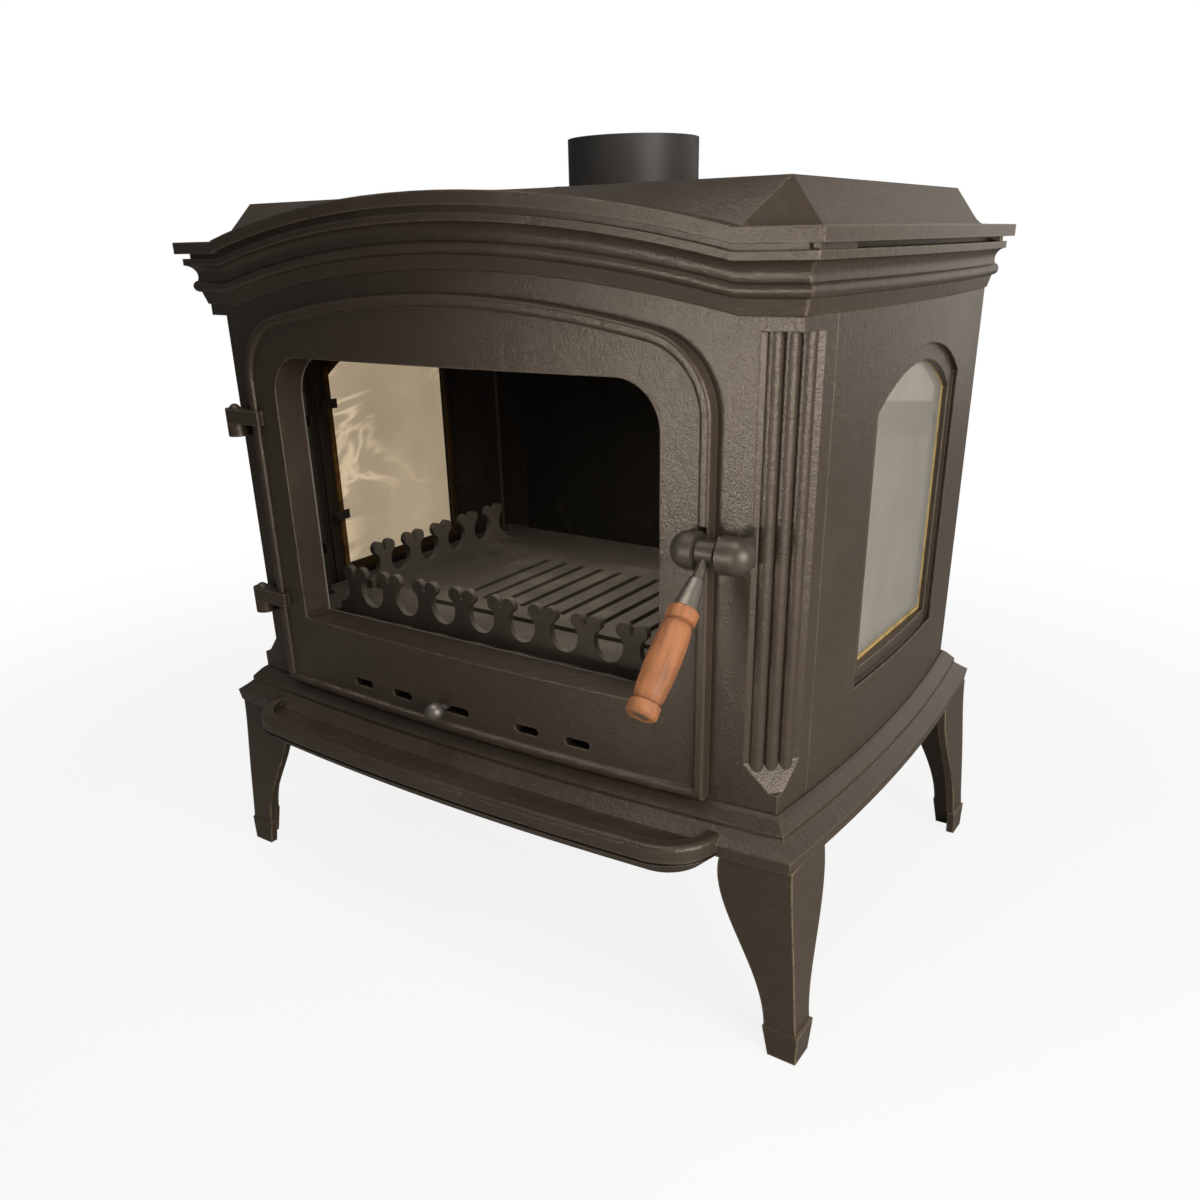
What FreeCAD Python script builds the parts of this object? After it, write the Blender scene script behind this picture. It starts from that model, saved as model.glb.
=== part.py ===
"""Cast iron wood stove with bowed panels, an arched door and a lift-up latch handle.

Millimetres. The floor is z = 0, x runs to the right and y to the back. Every piece is drawn from the
line between the two front corners of the body, and its placement sets that line in front of the origin.
"""
import FreeCAD
import Part
import math
import os

from FreeCAD import Placement, Rotation, Vector

SIZES = {
    # carcass
    "body_width": 732, "body_depth": 506, "front_bow": 19, "side_bow": 16, "wall": 8, "front_line": 189.9,
    "leg_height": 220, "base_height": 44, "panel_height": 448, "front_return": 55, "overrun": 5,
    # base plate and ash lip
    "base_floor": 8, "base_skirt": 12, "base_foot_out": 28, "base_band_out": 30, "base_cove_out": 22,
    "base_bead_out": 15, "base_slope_out": 6, "base_top_out": 2, "base_band": 14, "base_turn": 6,
    "base_cove": 6, "base_bead": 5, "base_slope": 10,
    "apron_inset": 44, "apron_reach": 96, "apron_bow": 10, "apron_corner": 62, "apron_height": 40,
    "apron_under": 20, "apron_undercut": 20, "apron_rim": 15, "apron_dish": 9, "apron_drop": 22,
    "apron_groove": 3,
    # legs
    "leg_side_out": 30, "leg_front_out": 24, "leg_front_splay_share": 0.25, "leg_wall": 10,
    "leg_top_width": 76, "leg_knee_width": 77, "leg_calf_width": 58, "leg_shin_width": 40,
    "leg_ankle_width": 35, "leg_shoe_width": 39, "leg_foot_width": 31,
    "leg_knee_height": 172, "leg_calf_height": 122, "leg_shin_height": 76, "leg_ankle_height": 34,
    "leg_knee_splay": 3, "leg_calf_splay": 8, "leg_shin_splay": 12, "leg_ankle_splay": 16,
    "leg_shoe_splay": 18.5, "leg_foot_splay": 18, "leg_plate": 8, "leg_plate_width": 60, "leg_bolt_inset": 30,
    # corner chamfers and flutes
    "chamfer": 32, "chamfer_back": 12, "stop_below_top": 12, "stop_above_base": 20, "tongue": 26,
    "tongue_toe": 8, "flute_radius": 4.2, "flute_pitch": 11.5, "flute_end": 5, "flutes": 3,
    # cornice
    "cornice_height": 48, "cornice_reach": 18, "fascia_height": 13, "fascia_low": 2, "fascia_high": 6,
    "bead_height": 12, "bead_bulge": 5.5, "bead_top": 8, "cove_bow": 3.5, "fillet_height": 7,
    "ear_width": 54, "arch_rise": 36, "arch_step": 1,
    # lid and flue
    "lid_gap": 5, "lid_rim": 12, "lid_overhang": 22, "lid_rear_overhang": 16, "hip_inset": 8,
    "hip_rear_out": 2, "hip_run": 29, "plateau_front": 45, "hip_rear_run": 23,
    "lid_rise": 38, "lid_wall": 8, "flue_outer": 150, "flue_inner": 138, "flue_height": 60, "flue_from_rear": 175,
    "flange_width": 24, "flange_thick": 7, "flue_spigot": 10, "flue_bolts": 4,
    # door
    "door_margin": 69, "door_gap": 4, "door_crest": 15, "door_crown": 1150, "door_corner": 75,
    "door_overlap": 16, "door_stand_off": 2.4, "door_plate": 10, "door_bead": 4, "door_bead_width": 11,
    "door_stile": 49, "bottom_rail": 91, "top_rail": 66, "glass_corner": 45,
    "reveal_wall": 22, "reveal_back": 14, "glass_thick": 4, "glass_overlap": 9, "gasket_thick": 2,
    "gasket_width": 8, "rope_groove_inset": 4, "rope_width": 8, "rope_depth": 6,
    "seal_clear": 0.5, "rope_clear": 0.3,
    "air_rise": 28, "air_from_guide": 42, "air_inner_share": 0.58442, "air_length": 30, "air_height": 9,
    "pad_over": 2, "pad_rise": 19, "pad_below_glass": 13, "pad_back": 12,
    "slide_inset": 22, "slide_height": 20, "slide_thick": 3, "slide_clear": 0.4, "slide_travel": 32,
    "knob_rest": -26, "stem_radius": 4, "knob_radius": 11, "knob_reach": 26, "stem_clear": 0.6,
    "guide_inset": 30, "guide_radius": 3, "guide_head": 6, "guide_head_thick": 3,
    # hinges
    "hinge_out": 33, "hinge_y": -17, "hinge_below_head": 77, "hinge_above_sill": 9, "knuckle_radius": 11,
    "lug_height": 16, "frame_lug_height": 15, "hinge_clear": 0.6, "pin_radius": 4.5, "pin_fit": 0.06,
    "pin_head_radius": 6.5, "pin_head_height": 5, "lug_reach": 52, "lug_thick": 7,
    # latch and handle
    "latch_out": 8, "latch_y": -36, "latch_below_head": 139, "boss_radius": 17, "boss_length": 26, "boss_gap": 0.6,
    "keeper_length": 30, "boss_foot": 12, "boss_flange": 18, "boss_flange_thick": 3,
    "hub_width": 18, "hub_radius": 11, "pivot_radius": 4, "pivot_head": 6.5, "pivot_head_thick": 3,
    "keeper_radius": 3.5, "keeper_rise": 12, "keeper_end_gap": 0.8, "keeper_face_gap": 4.4,
    "lever_angle": 45, "neck_radius": 5, "neck_end": 28,
    "ferrule_length": 28, "ferrule_thin": 7, "ferrule_wide": 11, "grip_length": 102, "grip_collar": 14,
    "grip_neck": 11.5, "grip_belly": 15, "grip_collar_length": 14, "grip_groove": 5, "grip_edge": 2,
    "rod_radius": 4, "screw_head": 7, "screw_sink": 5, "screw_head_thick": 4,
    # side windows
    "window_shift": 19, "window_half_width": 110, "window_sill_rise": 96, "window_head_drop": 58,
    "window_arch": 38, "surround": 16, "surround_depth": 5, "window_pad": 24, "pane_inset": 15, "pad_depth": 6,
    "clip_length": 26, "clip_width": 12, "clip_thick": 2, "clip_screw_radius": 2.5, "clip_screw_head": 4.5,
    "clip_screw_bite": 3,
    # inside
    "hearth_rise": 76, "hearth_thick": 8, "hearth_clear": 3, "hearth_front": 22, "hearth_rear_gap": 11,
    "ledge": 14, "ledge_thick": 10, "grate_length": 360, "grate_width": 230, "grate_lip": 10,
    "grate_thick": 10, "grate_slots": 11, "grate_slot": 9, "grate_end": 24, "grate_shift": -3,
    "pan_length": 400, "pan_width": 300, "pan_height": 56, "pan_wall": 2, "pan_grip": 60,
    "pan_grip_depth": 18, "pan_grip_bar": 3, "pan_front": 52,
    "liner_thick": 10, "liner_margin": 66, "liner_height": 270, "liner_groove": 3, "liner_grooves": 6,
    "liner_groove_width": 10,
    "baffle_drop": 12, "baffle_thick": 6, "baffle_front": 120, "baffle_rise": 30,
    "retainer_y": 46, "retainer_thick": 8, "retainer_pitch": 58, "retainer_posts": 9,
    "retainer_band": 26, "retainer_neck": 22, "curl_radius": 9.5, "curl_spread": 13, "curl_rise": 50,
    "eye_width": 15, "eye_height": 27, "dip_radius": 9, "slit": 5, "retainer_foot": 14,
    "side_retainer_inset": 70, "side_retainer_posts": 5,
    # rods and bolts
    "tie_radius": 4, "tie_side": 40, "tie_front": 84, "tie_rear": 52, "nut_radius": 7.5, "nut_height": 7,
    "bolt_radius": 4, "bolt_head": 7, "bolt_head_thick": 5, "bolt_length": 30, "bolt_boss": 13,
}


class Sizes:
    """The sheet's values as attributes."""

    def __init__(self, values):
        self.__dict__.update(values)


S = Sizes(SIZES)
DOC = FreeCAD.newDocument("WoodStove")


def fill_sheet():
    """Write every driving size into the sheet, one alias to a row."""
    sheet = DOC.addObject("Spreadsheet::Sheet", "Sizes")
    for row, (name, value) in enumerate(SIZES.items(), start=1):
        sheet.set("A%d" % row, name)
        sheet.set("B%d" % row, str(value))
        sheet.setAlias("B%d" % row, name)
    DOC.recompute()


# Heights and plan lines that follow from the driving sizes.
HALF = S.body_width / 2
BASE_TOP = S.leg_height + S.base_height
BODY_TOP = BASE_TOP + S.panel_height
CORNICE_TOP = BODY_TOP + S.cornice_height
LID_LOW = CORNICE_TOP + S.lid_gap
RIM_TOP = LID_LOW + S.lid_rim
PLATEAU = RIM_TOP + S.lid_rise
ARCH_HALF = HALF - S.ear_width
HIP_HALF = HALF - S.hip_inset
HIP_REAR = S.body_depth + S.hip_rear_out
PLATEAU_HALF = HIP_HALF - S.hip_run
PLATEAU_REAR = HIP_REAR - S.hip_rear_run
FLUE_Y = S.body_depth - S.flue_from_rear
APRON_HALF = HALF - S.apron_inset
DOOR_HALF = HALF - S.door_margin
DOOR_LOW = BASE_TOP + S.door_gap
DOOR_TOP = BODY_TOP + S.door_crest
GLASS_HALF = DOOR_HALF - S.door_stile
GLASS_LOW = DOOR_LOW + S.bottom_rail
GLASS_HIGH = DOOR_TOP - S.top_rail
AIR_Z = DOOR_LOW + S.air_rise
PAD_HALF = GLASS_HALF + S.pad_over
PAD_LOW = DOOR_LOW + S.pad_rise
PAD_HIGH = GLASS_LOW - S.pad_below_glass
SLIDE_HALF = GLASS_HALF - S.slide_inset
GUIDE_X = SLIDE_HALF - S.guide_inset
HINGE_X = -DOOR_HALF - S.hinge_out
HINGE_UPPER = GLASS_HIGH - S.hinge_below_head
HINGE_LOWER = GLASS_LOW + S.hinge_above_sill
LATCH_X = DOOR_HALF + S.latch_out
LATCH_Z = GLASS_HIGH - S.latch_below_head
WINDOW_CENTRE = S.body_depth / 2 + S.window_shift
WINDOW_LOW = BASE_TOP + S.window_sill_rise
WINDOW_HIGH = BODY_TOP - S.window_head_drop
HEARTH_Z = BASE_TOP + S.hearth_rise
HEARTH_TOP = HEARTH_Z + S.hearth_thick
GRATE_Y = S.body_depth / 2 + S.grate_shift
LINER_HALF = HALF - S.liner_margin
BAFFLE_Z = BODY_TOP - S.baffle_drop
SIDE_RETAINER_X = HALF - S.side_retainer_inset
BACKING_LEG = S.chamfer + S.chamfer_back * math.sqrt(2)
PANE_SEAT = HALF + S.side_bow - S.pane_inset
LEDGE_ROOT = HALF - S.wall - S.pad_depth
NODES = {}

# The same levels as formulas on the sheet.
BASE_LEVEL = "Sizes.leg_height + Sizes.base_height"
LOWER_HINGE = BASE_LEVEL + " + Sizes.door_gap + Sizes.bottom_rail + Sizes.hinge_above_sill"
UPPER_HINGE = BASE_LEVEL + " + Sizes.panel_height + Sizes.door_crest - Sizes.top_rail - Sizes.hinge_below_head"


def name_it(obj, label, in_front=True):
    """Label a finished piece and set it on the front line of the body."""
    obj.Label = label
    if in_front:
        obj.setExpression("Placement.Base.y", "-Sizes.front_line")
    NODES[label] = obj
    return obj


def feature(label, shape):
    """A casting whose form no single feature gives."""
    obj = DOC.addObject("Part::Feature", label)
    merged = shape.removeSplitter()
    obj.Shape = merged if merged.isValid() else shape
    return name_it(obj, label)


# Curves in plan and in elevation

def bow_radius(half_chord, sagitta):
    return (half_chord ** 2 + sagitta ** 2) / (2 * sagitta)


FRONT_RADIUS = bow_radius(HALF, S.front_bow)
SIDE_RADIUS = bow_radius(S.body_depth / 2, S.side_bow)
ARCH_RADIUS = bow_radius(ARCH_HALF, S.arch_rise)


def front_y(x, out=0):
    """Depth of the bowed front at x, moved out square to the face."""
    return FRONT_RADIUS - S.front_bow - math.sqrt((FRONT_RADIUS + out) ** 2 - x ** 2)


def arch_z(x):
    """Rise of the arched cornice and lid above their ears at x."""
    if abs(x) >= ARCH_HALF:
        return 0
    return S.arch_rise - ARCH_RADIUS + math.sqrt(ARCH_RADIUS ** 2 - x ** 2)


def arc(start, middle, end):
    return Part.Arc(Vector(*start), Vector(*middle), Vector(*end)).toShape()


def line(start, end):
    return Part.makeLine(Vector(*start), Vector(*end))


def face(*edges):
    return Part.Face(Part.Wire(list(edges)))


def polygon(points):
    return Part.Face(Part.makePolygon([Vector(*p) for p in points + points[:1]]))


def plan(z, out, rear=None):
    """Outline of the carcass seen from above, grown by `out` on the front and sides."""
    rear = out if rear is None else rear
    x = HALF + out
    back = S.body_depth + rear
    middle = (back - out) / 2
    bulge = HALF + S.side_bow + out
    return Part.Wire([
        arc((-x, -out, z), (0, -S.front_bow - out, z), (x, -out, z)),
        arc((x, -out, z), (bulge, middle, z), (x, back, z)),
        line((x, back, z), (-x, back, z)),
        arc((-x, back, z), (-bulge, middle, z), (-x, -out, z)),
    ])


def slab(low, high, out, rear=None):
    return Part.Face(plan(low, out, rear)).extrude(Vector(0, 0, high - low))


def box(x0, x1, y0, y1, z0, z1):
    return Part.makeBox(x1 - x0, y1 - y0, z1 - z0, Vector(x0, y0, z0))


def rod(radius, start, end):
    start, end = Vector(*start), Vector(*end)
    return Part.makeCylinder(radius, (end - start).Length, start, end - start)


def front_shell(inner, outer):
    """Room between two bows that run with the front face, over the full height."""
    centre = Vector(0, FRONT_RADIUS - S.front_bow, 0)
    high = PLATEAU + S.flue_height
    whole = Part.makeCylinder(FRONT_RADIUS + outer, high, centre)
    whole = whole.cut(Part.makeCylinder(FRONT_RADIUS + inner, high, centre))
    return whole.common(box(-S.body_width, S.body_width, -S.body_depth, S.body_depth / 2, 0, high))


def door_wire(inset, y):
    """Door outline: straight sides, a flat crown and rounded shoulders, drawn `inset` inside its edge."""
    half = DOOR_HALF - inset
    low = DOOR_LOW + inset
    corner = S.door_corner - inset
    crown = S.door_crown - inset
    crown_z = DOOR_TOP - S.door_crown
    corner_x = DOOR_HALF - S.door_corner
    corner_z = crown_z + math.sqrt((S.door_crown - S.door_corner) ** 2 - corner_x ** 2)
    lean = math.atan2(corner_z - crown_z, corner_x)
    meet_x = crown * math.cos(lean)
    meet_z = crown_z + crown * math.sin(lean)
    mid_x = corner_x + corner * math.cos(lean / 2)
    mid_z = corner_z + corner * math.sin(lean / 2)
    return Part.Wire([
        line((-half, y, low), (half, y, low)),
        line((half, y, low), (half, y, corner_z)),
        arc((half, y, corner_z), (mid_x, y, mid_z), (meet_x, y, meet_z)),
        arc((meet_x, y, meet_z), (0, y, crown_z + crown), (-meet_x, y, meet_z)),
        arc((-meet_x, y, meet_z), (-mid_x, y, mid_z), (-half, y, corner_z)),
        line((-half, y, corner_z), (-half, y, low)),
    ])


def glass_wire(grow, y):
    """Window outline of the door: square below, rounded above, grown outwards by `grow`."""
    half = GLASS_HALF + grow
    low = GLASS_LOW - grow
    high = GLASS_HIGH + grow
    corner = S.glass_corner + grow
    inner = half - corner
    spring = high - corner
    lean = corner * math.sqrt(0.5)
    return Part.Wire([
        line((-half, y, low), (half, y, low)),
        line((half, y, low), (half, y, spring)),
        arc((half, y, spring), (inner + lean, y, spring + lean), (inner, y, high)),
        line((inner, y, high), (-inner, y, high)),
        arc((-inner, y, high), (-inner - lean, y, spring + lean), (-half, y, spring)),
        line((-half, y, spring), (-half, y, low)),
    ])


def window_wire(grow, x):
    """Side window outline with its segmental head, grown outwards by `grow`."""
    near = WINDOW_CENTRE - S.window_half_width - grow
    far = WINDOW_CENTRE + S.window_half_width + grow
    low = WINDOW_LOW - grow
    spring = WINDOW_HIGH - S.window_arch + grow
    high = WINDOW_HIGH + grow
    return Part.Wire([
        line((x, near, low), (x, far, low)),
        line((x, far, low), (x, far, spring)),
        arc((x, far, spring), (x, WINDOW_CENTRE, high), (x, near, spring)),
        line((x, near, spring), (x, near, low)),
    ])


def through_y(wire, y0, y1):
    return Part.Face(wire).extrude(Vector(0, y1 - y0, 0))


def through_x(wire, x0, x1):
    return Part.Face(wire).extrude(Vector(x1 - x0, 0, 0))


# Bodies made from sketches

def sketch_on(body, plane, edges, offset="0"):
    """A sketch of the given edges on one of the body's own planes, moved along its normal."""
    planes = [part for part in body.Origin.OriginFeatures if part.Role == plane + "_Plane"]
    sketch = body.newObject("Sketcher::SketchObject", body.Name + "Sketch")
    sketch.AttachmentSupport = [(planes[0], "")]
    sketch.MapMode = "FlatFace"
    sketch.setExpression("AttachmentOffset.Base.z", offset)
    for edge in edges:
        sketch.addGeometry(edge)
    return sketch


def loop(points):
    """Straight edges round a closed outline in a sketch's own plane."""
    spots = [Vector(u, v, 0) for u, v in points]
    return [Part.LineSegment(a, b) for a, b in zip(spots, spots[1:] + spots[:1])]


def ring_edge(u, v, radius):
    return Part.Circle(Vector(u, v, 0), Vector(0, 0, 1), radius)


def padded(label, plane, edges, length, offset="0"):
    """A plate: one sketch, padded by a length bound to the sheet."""
    body = DOC.addObject("PartDesign::Body", label)
    sketch = sketch_on(body, plane, edges, offset)
    pad = body.newObject("PartDesign::Pad", label + "Pad")
    pad.Profile = sketch
    pad.setExpression("Length", length)
    sketch.Visibility = False
    DOC.recompute()
    return body


def turned(label, edges):
    """A turned piece: a half profile in the XZ plane, revolved about its own z axis."""
    body = DOC.addObject("PartDesign::Body", label)
    sketch = sketch_on(body, "XZ", edges)
    spin = body.newObject("PartDesign::Revolution", label + "Turn")
    spin.Profile = sketch
    spin.ReferenceAxis = (sketch, ["V_Axis"])
    sketch.Visibility = False
    DOC.recompute()
    return body


def cylinder(name, radius, height, spot=(0, 0, 0), turn=Rotation()):
    obj = DOC.addObject("Part::Cylinder", name)
    obj.setExpression("Radius", radius)
    obj.setExpression("Height", height)
    obj.Placement = Placement(Vector(*spot), turn)
    return obj


def group(label, members):
    """Like fasteners kept together in one piece of the list."""
    obj = DOC.addObject("Part::Compound", label)
    obj.Links = members
    DOC.recompute()
    return name_it(obj, label)


def joined(name, members):
    obj = DOC.addObject("Part::MultiFuse", name)
    obj.Shapes = members
    DOC.recompute()
    return obj


# Base and legs

def apron_outline(z, inset):
    """Plan of the ash lip with its rounded corners and bowed front."""
    half = APRON_HALF - inset
    reach = S.apron_reach - S.apron_bow - inset
    r = S.apron_corner - inset
    lean = r * math.sqrt(0.5)
    root = S.base_foot_out
    side = half - r
    return Part.Wire([
        line((half, root, z), (-half, root, z)),
        line((-half, root, z), (-half, r - reach, z)),
        arc((-half, r - reach, z), (-side - lean, r - reach - lean, z), (-side, -reach, z)),
        arc((-side, -reach, z), (0, -reach - S.apron_bow, z), (side, -reach, z)),
        arc((side, -reach, z), (side + lean, r - reach - lean, z), (half, r - reach, z)),
        line((half, r - reach, z), (half, root, z)),
    ])


def apron():
    """Ash lip: undercut below, grooved edge, dished top inside a raised rim."""
    top = BASE_TOP - S.apron_drop
    low = top - S.apron_height
    edge = low + S.apron_under
    under = Part.makeLoft([apron_outline(low, S.apron_undercut), apron_outline(edge, 0)], True, True)
    rim = Part.Face(apron_outline(edge, 0)).extrude(Vector(0, 0, top - edge))
    rim = rim.makeFillet(S.apron_groove * 2, [e for e in rim.Edges if on_level(e, top)])
    groove = Part.Face(apron_outline(edge, -S.overrun)).extrude(Vector(0, 0, S.apron_groove))
    groove = groove.cut(Part.Face(apron_outline(edge, S.apron_groove)).extrude(Vector(0, 0, S.apron_groove)))
    dish = Part.Face(apron_outline(top - S.apron_dish, S.apron_rim)).extrude(Vector(0, 0, S.apron_height))
    return under.fuse(rim).cut(groove).cut(dish)


def on_level(edge, z):
    return all(abs(v.Z - z) < S.seal_clear for v in edge.Vertexes) and edge.BoundBox.YMin < 0


def base_plate():
    low = S.leg_height
    rises = [0, S.base_band, S.base_turn, S.base_cove, S.base_bead, S.base_slope]
    outs = [S.base_foot_out, S.base_band_out, S.base_cove_out, S.base_bead_out, S.base_bead_out, S.base_slope_out]
    steps = [(low + sum(rises[:k + 1]), out) for k, out in enumerate(outs)] + [(BASE_TOP, S.base_top_out)]
    body = Part.makeLoft([plan(z, out) for z, out in steps], True, True)
    inner = S.base_foot_out - S.base_skirt
    hollow = [(low - S.overrun, inner), (low + S.base_band, inner),
              (BASE_TOP - S.base_floor, S.base_top_out - S.base_skirt)]
    body = body.cut(Part.makeLoft([plan(z, out) for z, out in hollow], True, True))
    lip = apron().cut(slab(0, BASE_TOP - S.base_floor, inner))
    body = body.fuse(lip)
    for x, y in leg_bolt_spots():
        body = body.fuse(rod(S.bolt_boss, (x, y, low), (x, y, BASE_TOP - S.base_floor)))
        body = body.cut(rod(S.bolt_radius, (x, y, low), (x, y, low + S.bolt_length)))
    for x, y in tie_spots():
        body = body.cut(rod(S.tie_radius, (x, y, low), (x, y, BASE_TOP + S.overrun)))
    return feature("base_plate", body)


def leg_corner():
    """Right front leg corner in plan at the top of the leg."""
    return HALF + S.leg_side_out, -S.leg_front_out


def leg_section(z, splay, width):
    """Angle section of a leg with its corner pushed out by `splay`, less to the front than to the side."""
    x, y = leg_corner()
    x, y = x + splay, y - splay * S.leg_front_splay_share
    t = S.leg_wall
    spots = [(x, y), (x, y + width), (x - t, y + width), (x - t, y + t), (x - width, y + t), (x - width, y)]
    return Part.makePolygon([Vector(u, v, z) for u, v in spots + spots[:1]])


def leg_shape():
    """Cabriole leg: a wide angle that sweeps in to a narrow shin and stands in a proud, tapered shoe."""
    stations = [
        (S.leg_height, 0, S.leg_top_width),
        (S.leg_knee_height, S.leg_knee_splay, S.leg_knee_width),
        (S.leg_calf_height, S.leg_calf_splay, S.leg_calf_width),
        (S.leg_shin_height, S.leg_shin_splay, S.leg_shin_width),
        (S.leg_ankle_height, S.leg_ankle_splay, S.leg_ankle_width),
    ]
    shape = Part.makeLoft([leg_section(*s) for s in stations], True, False)
    shoe = [(S.leg_ankle_height, S.leg_shoe_splay, S.leg_shoe_width), (0, S.leg_foot_splay, S.leg_foot_width)]
    shape = shape.fuse(Part.makeLoft([leg_section(*s) for s in shoe], True, True))
    x, y = leg_corner()
    width = S.leg_plate_width
    plate = box(x - width, x, y, y + width, S.leg_height - S.leg_plate, S.leg_height)
    hole = S.leg_bolt_inset
    shape = shape.fuse(plate)
    return shape.cut(rod(S.bolt_radius, (x - hole, y + hole, 0), (x - hole, y + hole, S.leg_height)))


def leg_bolt_spots():
    x, y = leg_corner()
    x, y = x - S.leg_bolt_inset, y + S.leg_bolt_inset
    back = S.body_depth - y
    return [(x, y), (-x, y), (x, back), (-x, back)]


def legs():
    right = leg_shape()
    middle = Vector(0, S.body_depth / 2, 0)
    rear = right.mirror(middle, Vector(0, 1, 0))
    side = Vector(1, 0, 0)
    feature("front_right_leg", right)
    feature("rear_right_leg", rear)
    feature("front_left_leg", right.mirror(Vector(0, 0, 0), side))
    feature("rear_left_leg", rear.mirror(Vector(0, 0, 0), side))


def leg_bolts():
    bolts = []
    for k, (x, y) in enumerate(leg_bolt_spots()):
        low = S.leg_height - S.leg_plate
        head = cylinder("LegBoltHead%d" % k, "Sizes.bolt_head", "Sizes.bolt_head_thick",
                        (x, y, low - S.bolt_head_thick))
        shank = cylinder("LegBoltShank%d" % k, "Sizes.bolt_radius", "Sizes.leg_plate + Sizes.bolt_length",
                         (x, y, low))
        bolts.append(joined("LegBolt%d" % k, [head, shank]))
    return group("leg_bolts", bolts)


# Panels

def cornice_wire(x, y, z, out_x, out_y, inner):
    """Cornice section: fascia, bead, cove and fillet, standing on (x, y, z) and facing (out_x, out_y)."""
    def spot(out, up):
        return (x + out * out_x, y + out * out_y, z + up)

    bead_low = S.fascia_height
    bead_high = bead_low + S.bead_height
    fillet = S.cornice_height - S.fillet_height
    cove_mid = (S.bead_top + S.cornice_reach) / 2 - S.cove_bow
    return Part.Wire([
        line(spot(-inner, 0), spot(S.fascia_low, 0)),
        line(spot(S.fascia_low, 0), spot(S.fascia_high, bead_low)),
        arc(spot(S.fascia_high, bead_low),
            spot((S.fascia_high + S.bead_top) / 2 + S.bead_bulge, (bead_low + bead_high) / 2),
            spot(S.bead_top, bead_high)),
        arc(spot(S.bead_top, bead_high), spot(cove_mid, (bead_high + fillet) / 2 + S.cove_bow),
            spot(S.cornice_reach, fillet)),
        line(spot(S.cornice_reach, fillet), spot(S.cornice_reach, S.cornice_height)),
        line(spot(S.cornice_reach, S.cornice_height), spot(-inner, S.cornice_height)),
        line(spot(-inner, S.cornice_height), spot(-inner, 0)),
    ])


def mitre(side):
    """Everything in front of the 45 degree mitre at one front corner."""
    far = 2 * S.body_width
    x = side * HALF
    shape = polygon([(x - side * far, far, 0), (x + side * far, -far, 0), (x - side * far, -far, 0)])
    return shape.extrude(Vector(0, 0, PLATEAU))


def front_cornice():
    end = HALF + S.cornice_reach + S.overrun
    ear = ARCH_HALF
    count = 8
    rows = [
        [-end, -(end + ear) / 2, -ear],
        [ear * (2 * k / count - 1) for k in range(count + 1)],
        [ear, (end + ear) / 2, end],
    ]
    whole = None
    for xs in rows:
        wires = [cornice_wire(x, front_y(x), BODY_TOP + arch_z(x), 0, -1, S.wall / 2) for x in xs]
        run = Part.makeLoft(wires, True, False)
        whole = run if whole is None else whole.fuse(run)
    return whole.common(mitre(1)).common(mitre(-1))


def side_cornice():
    """Right side: the section turned about the centre of the side's bow, mitred at the front."""
    centre = Vector(HALF + S.side_bow - SIDE_RADIUS, S.body_depth / 2, 0)
    section = Part.Face(cornice_wire(HALF + S.side_bow, S.body_depth / 2, BODY_TOP, 1, 0, S.wall))
    half = math.degrees(math.asin((S.body_depth / 2 + S.cornice_reach + S.overrun) / SIDE_RADIUS))
    section.rotate(centre, Vector(0, 0, 1), -half)
    run = section.revolve(centre, Vector(0, 0, 1), 2 * half)
    keep = box(0, S.body_width, -S.body_depth, S.body_depth, 0, PLATEAU)
    return run.common(keep).cut(mitre(1))


def wall_ring(high):
    """The carcass walls as one bowed ring."""
    ring = slab(BASE_TOP, high, 0)
    return ring.cut(slab(BASE_TOP - S.overrun, high + S.overrun, -S.wall))


def corner_triangle(leg, z, grow):
    """Plan of the right corner chamfer's waste, from its face outwards."""
    x = HALF
    return Part.makePolygon([Vector(*p) for p in [
        (x - leg - grow, -grow, z), (x + grow, leg + grow, z), (x + grow, -grow, z), (x - leg - grow, -grow, z)]])


def chamfer_waste():
    """Stopped chamfer with a sloping tongue below and three flutes down its face."""
    low = BASE_TOP + S.stop_above_base
    high = BODY_TOP - S.stop_below_top
    straight = low + S.tongue
    grow = S.overrun * 2
    waste = Part.Face(corner_triangle(S.chamfer, straight, grow)).extrude(Vector(0, 0, high - straight))
    tongue = Part.makeLoft([corner_triangle(S.tongue_toe, low, grow), corner_triangle(S.chamfer, straight, grow)],
                           True, True)
    waste = waste.fuse(tongue)
    x, y = HALF - S.chamfer / 2, S.chamfer / 2
    step = S.flute_pitch * math.sqrt(0.5)
    for k in range(S.flutes):
        shift = (k - (S.flutes - 1) / 2) * step
        spot = (x + shift, y + shift)
        waste = waste.fuse(rod(S.flute_radius, spot + (straight + S.flute_end,), spot + (high - S.flute_end,)))
    return waste


def corner_backing():
    """Thick inner corner that leaves a full wall behind the chamfer."""
    leg = BACKING_LEG
    x = HALF
    shape = polygon([(x - leg, 0, BASE_TOP), (x, leg, BASE_TOP), (x, 0, BASE_TOP)])
    return shape.extrude(Vector(0, 0, BODY_TOP - BASE_TOP))


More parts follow.
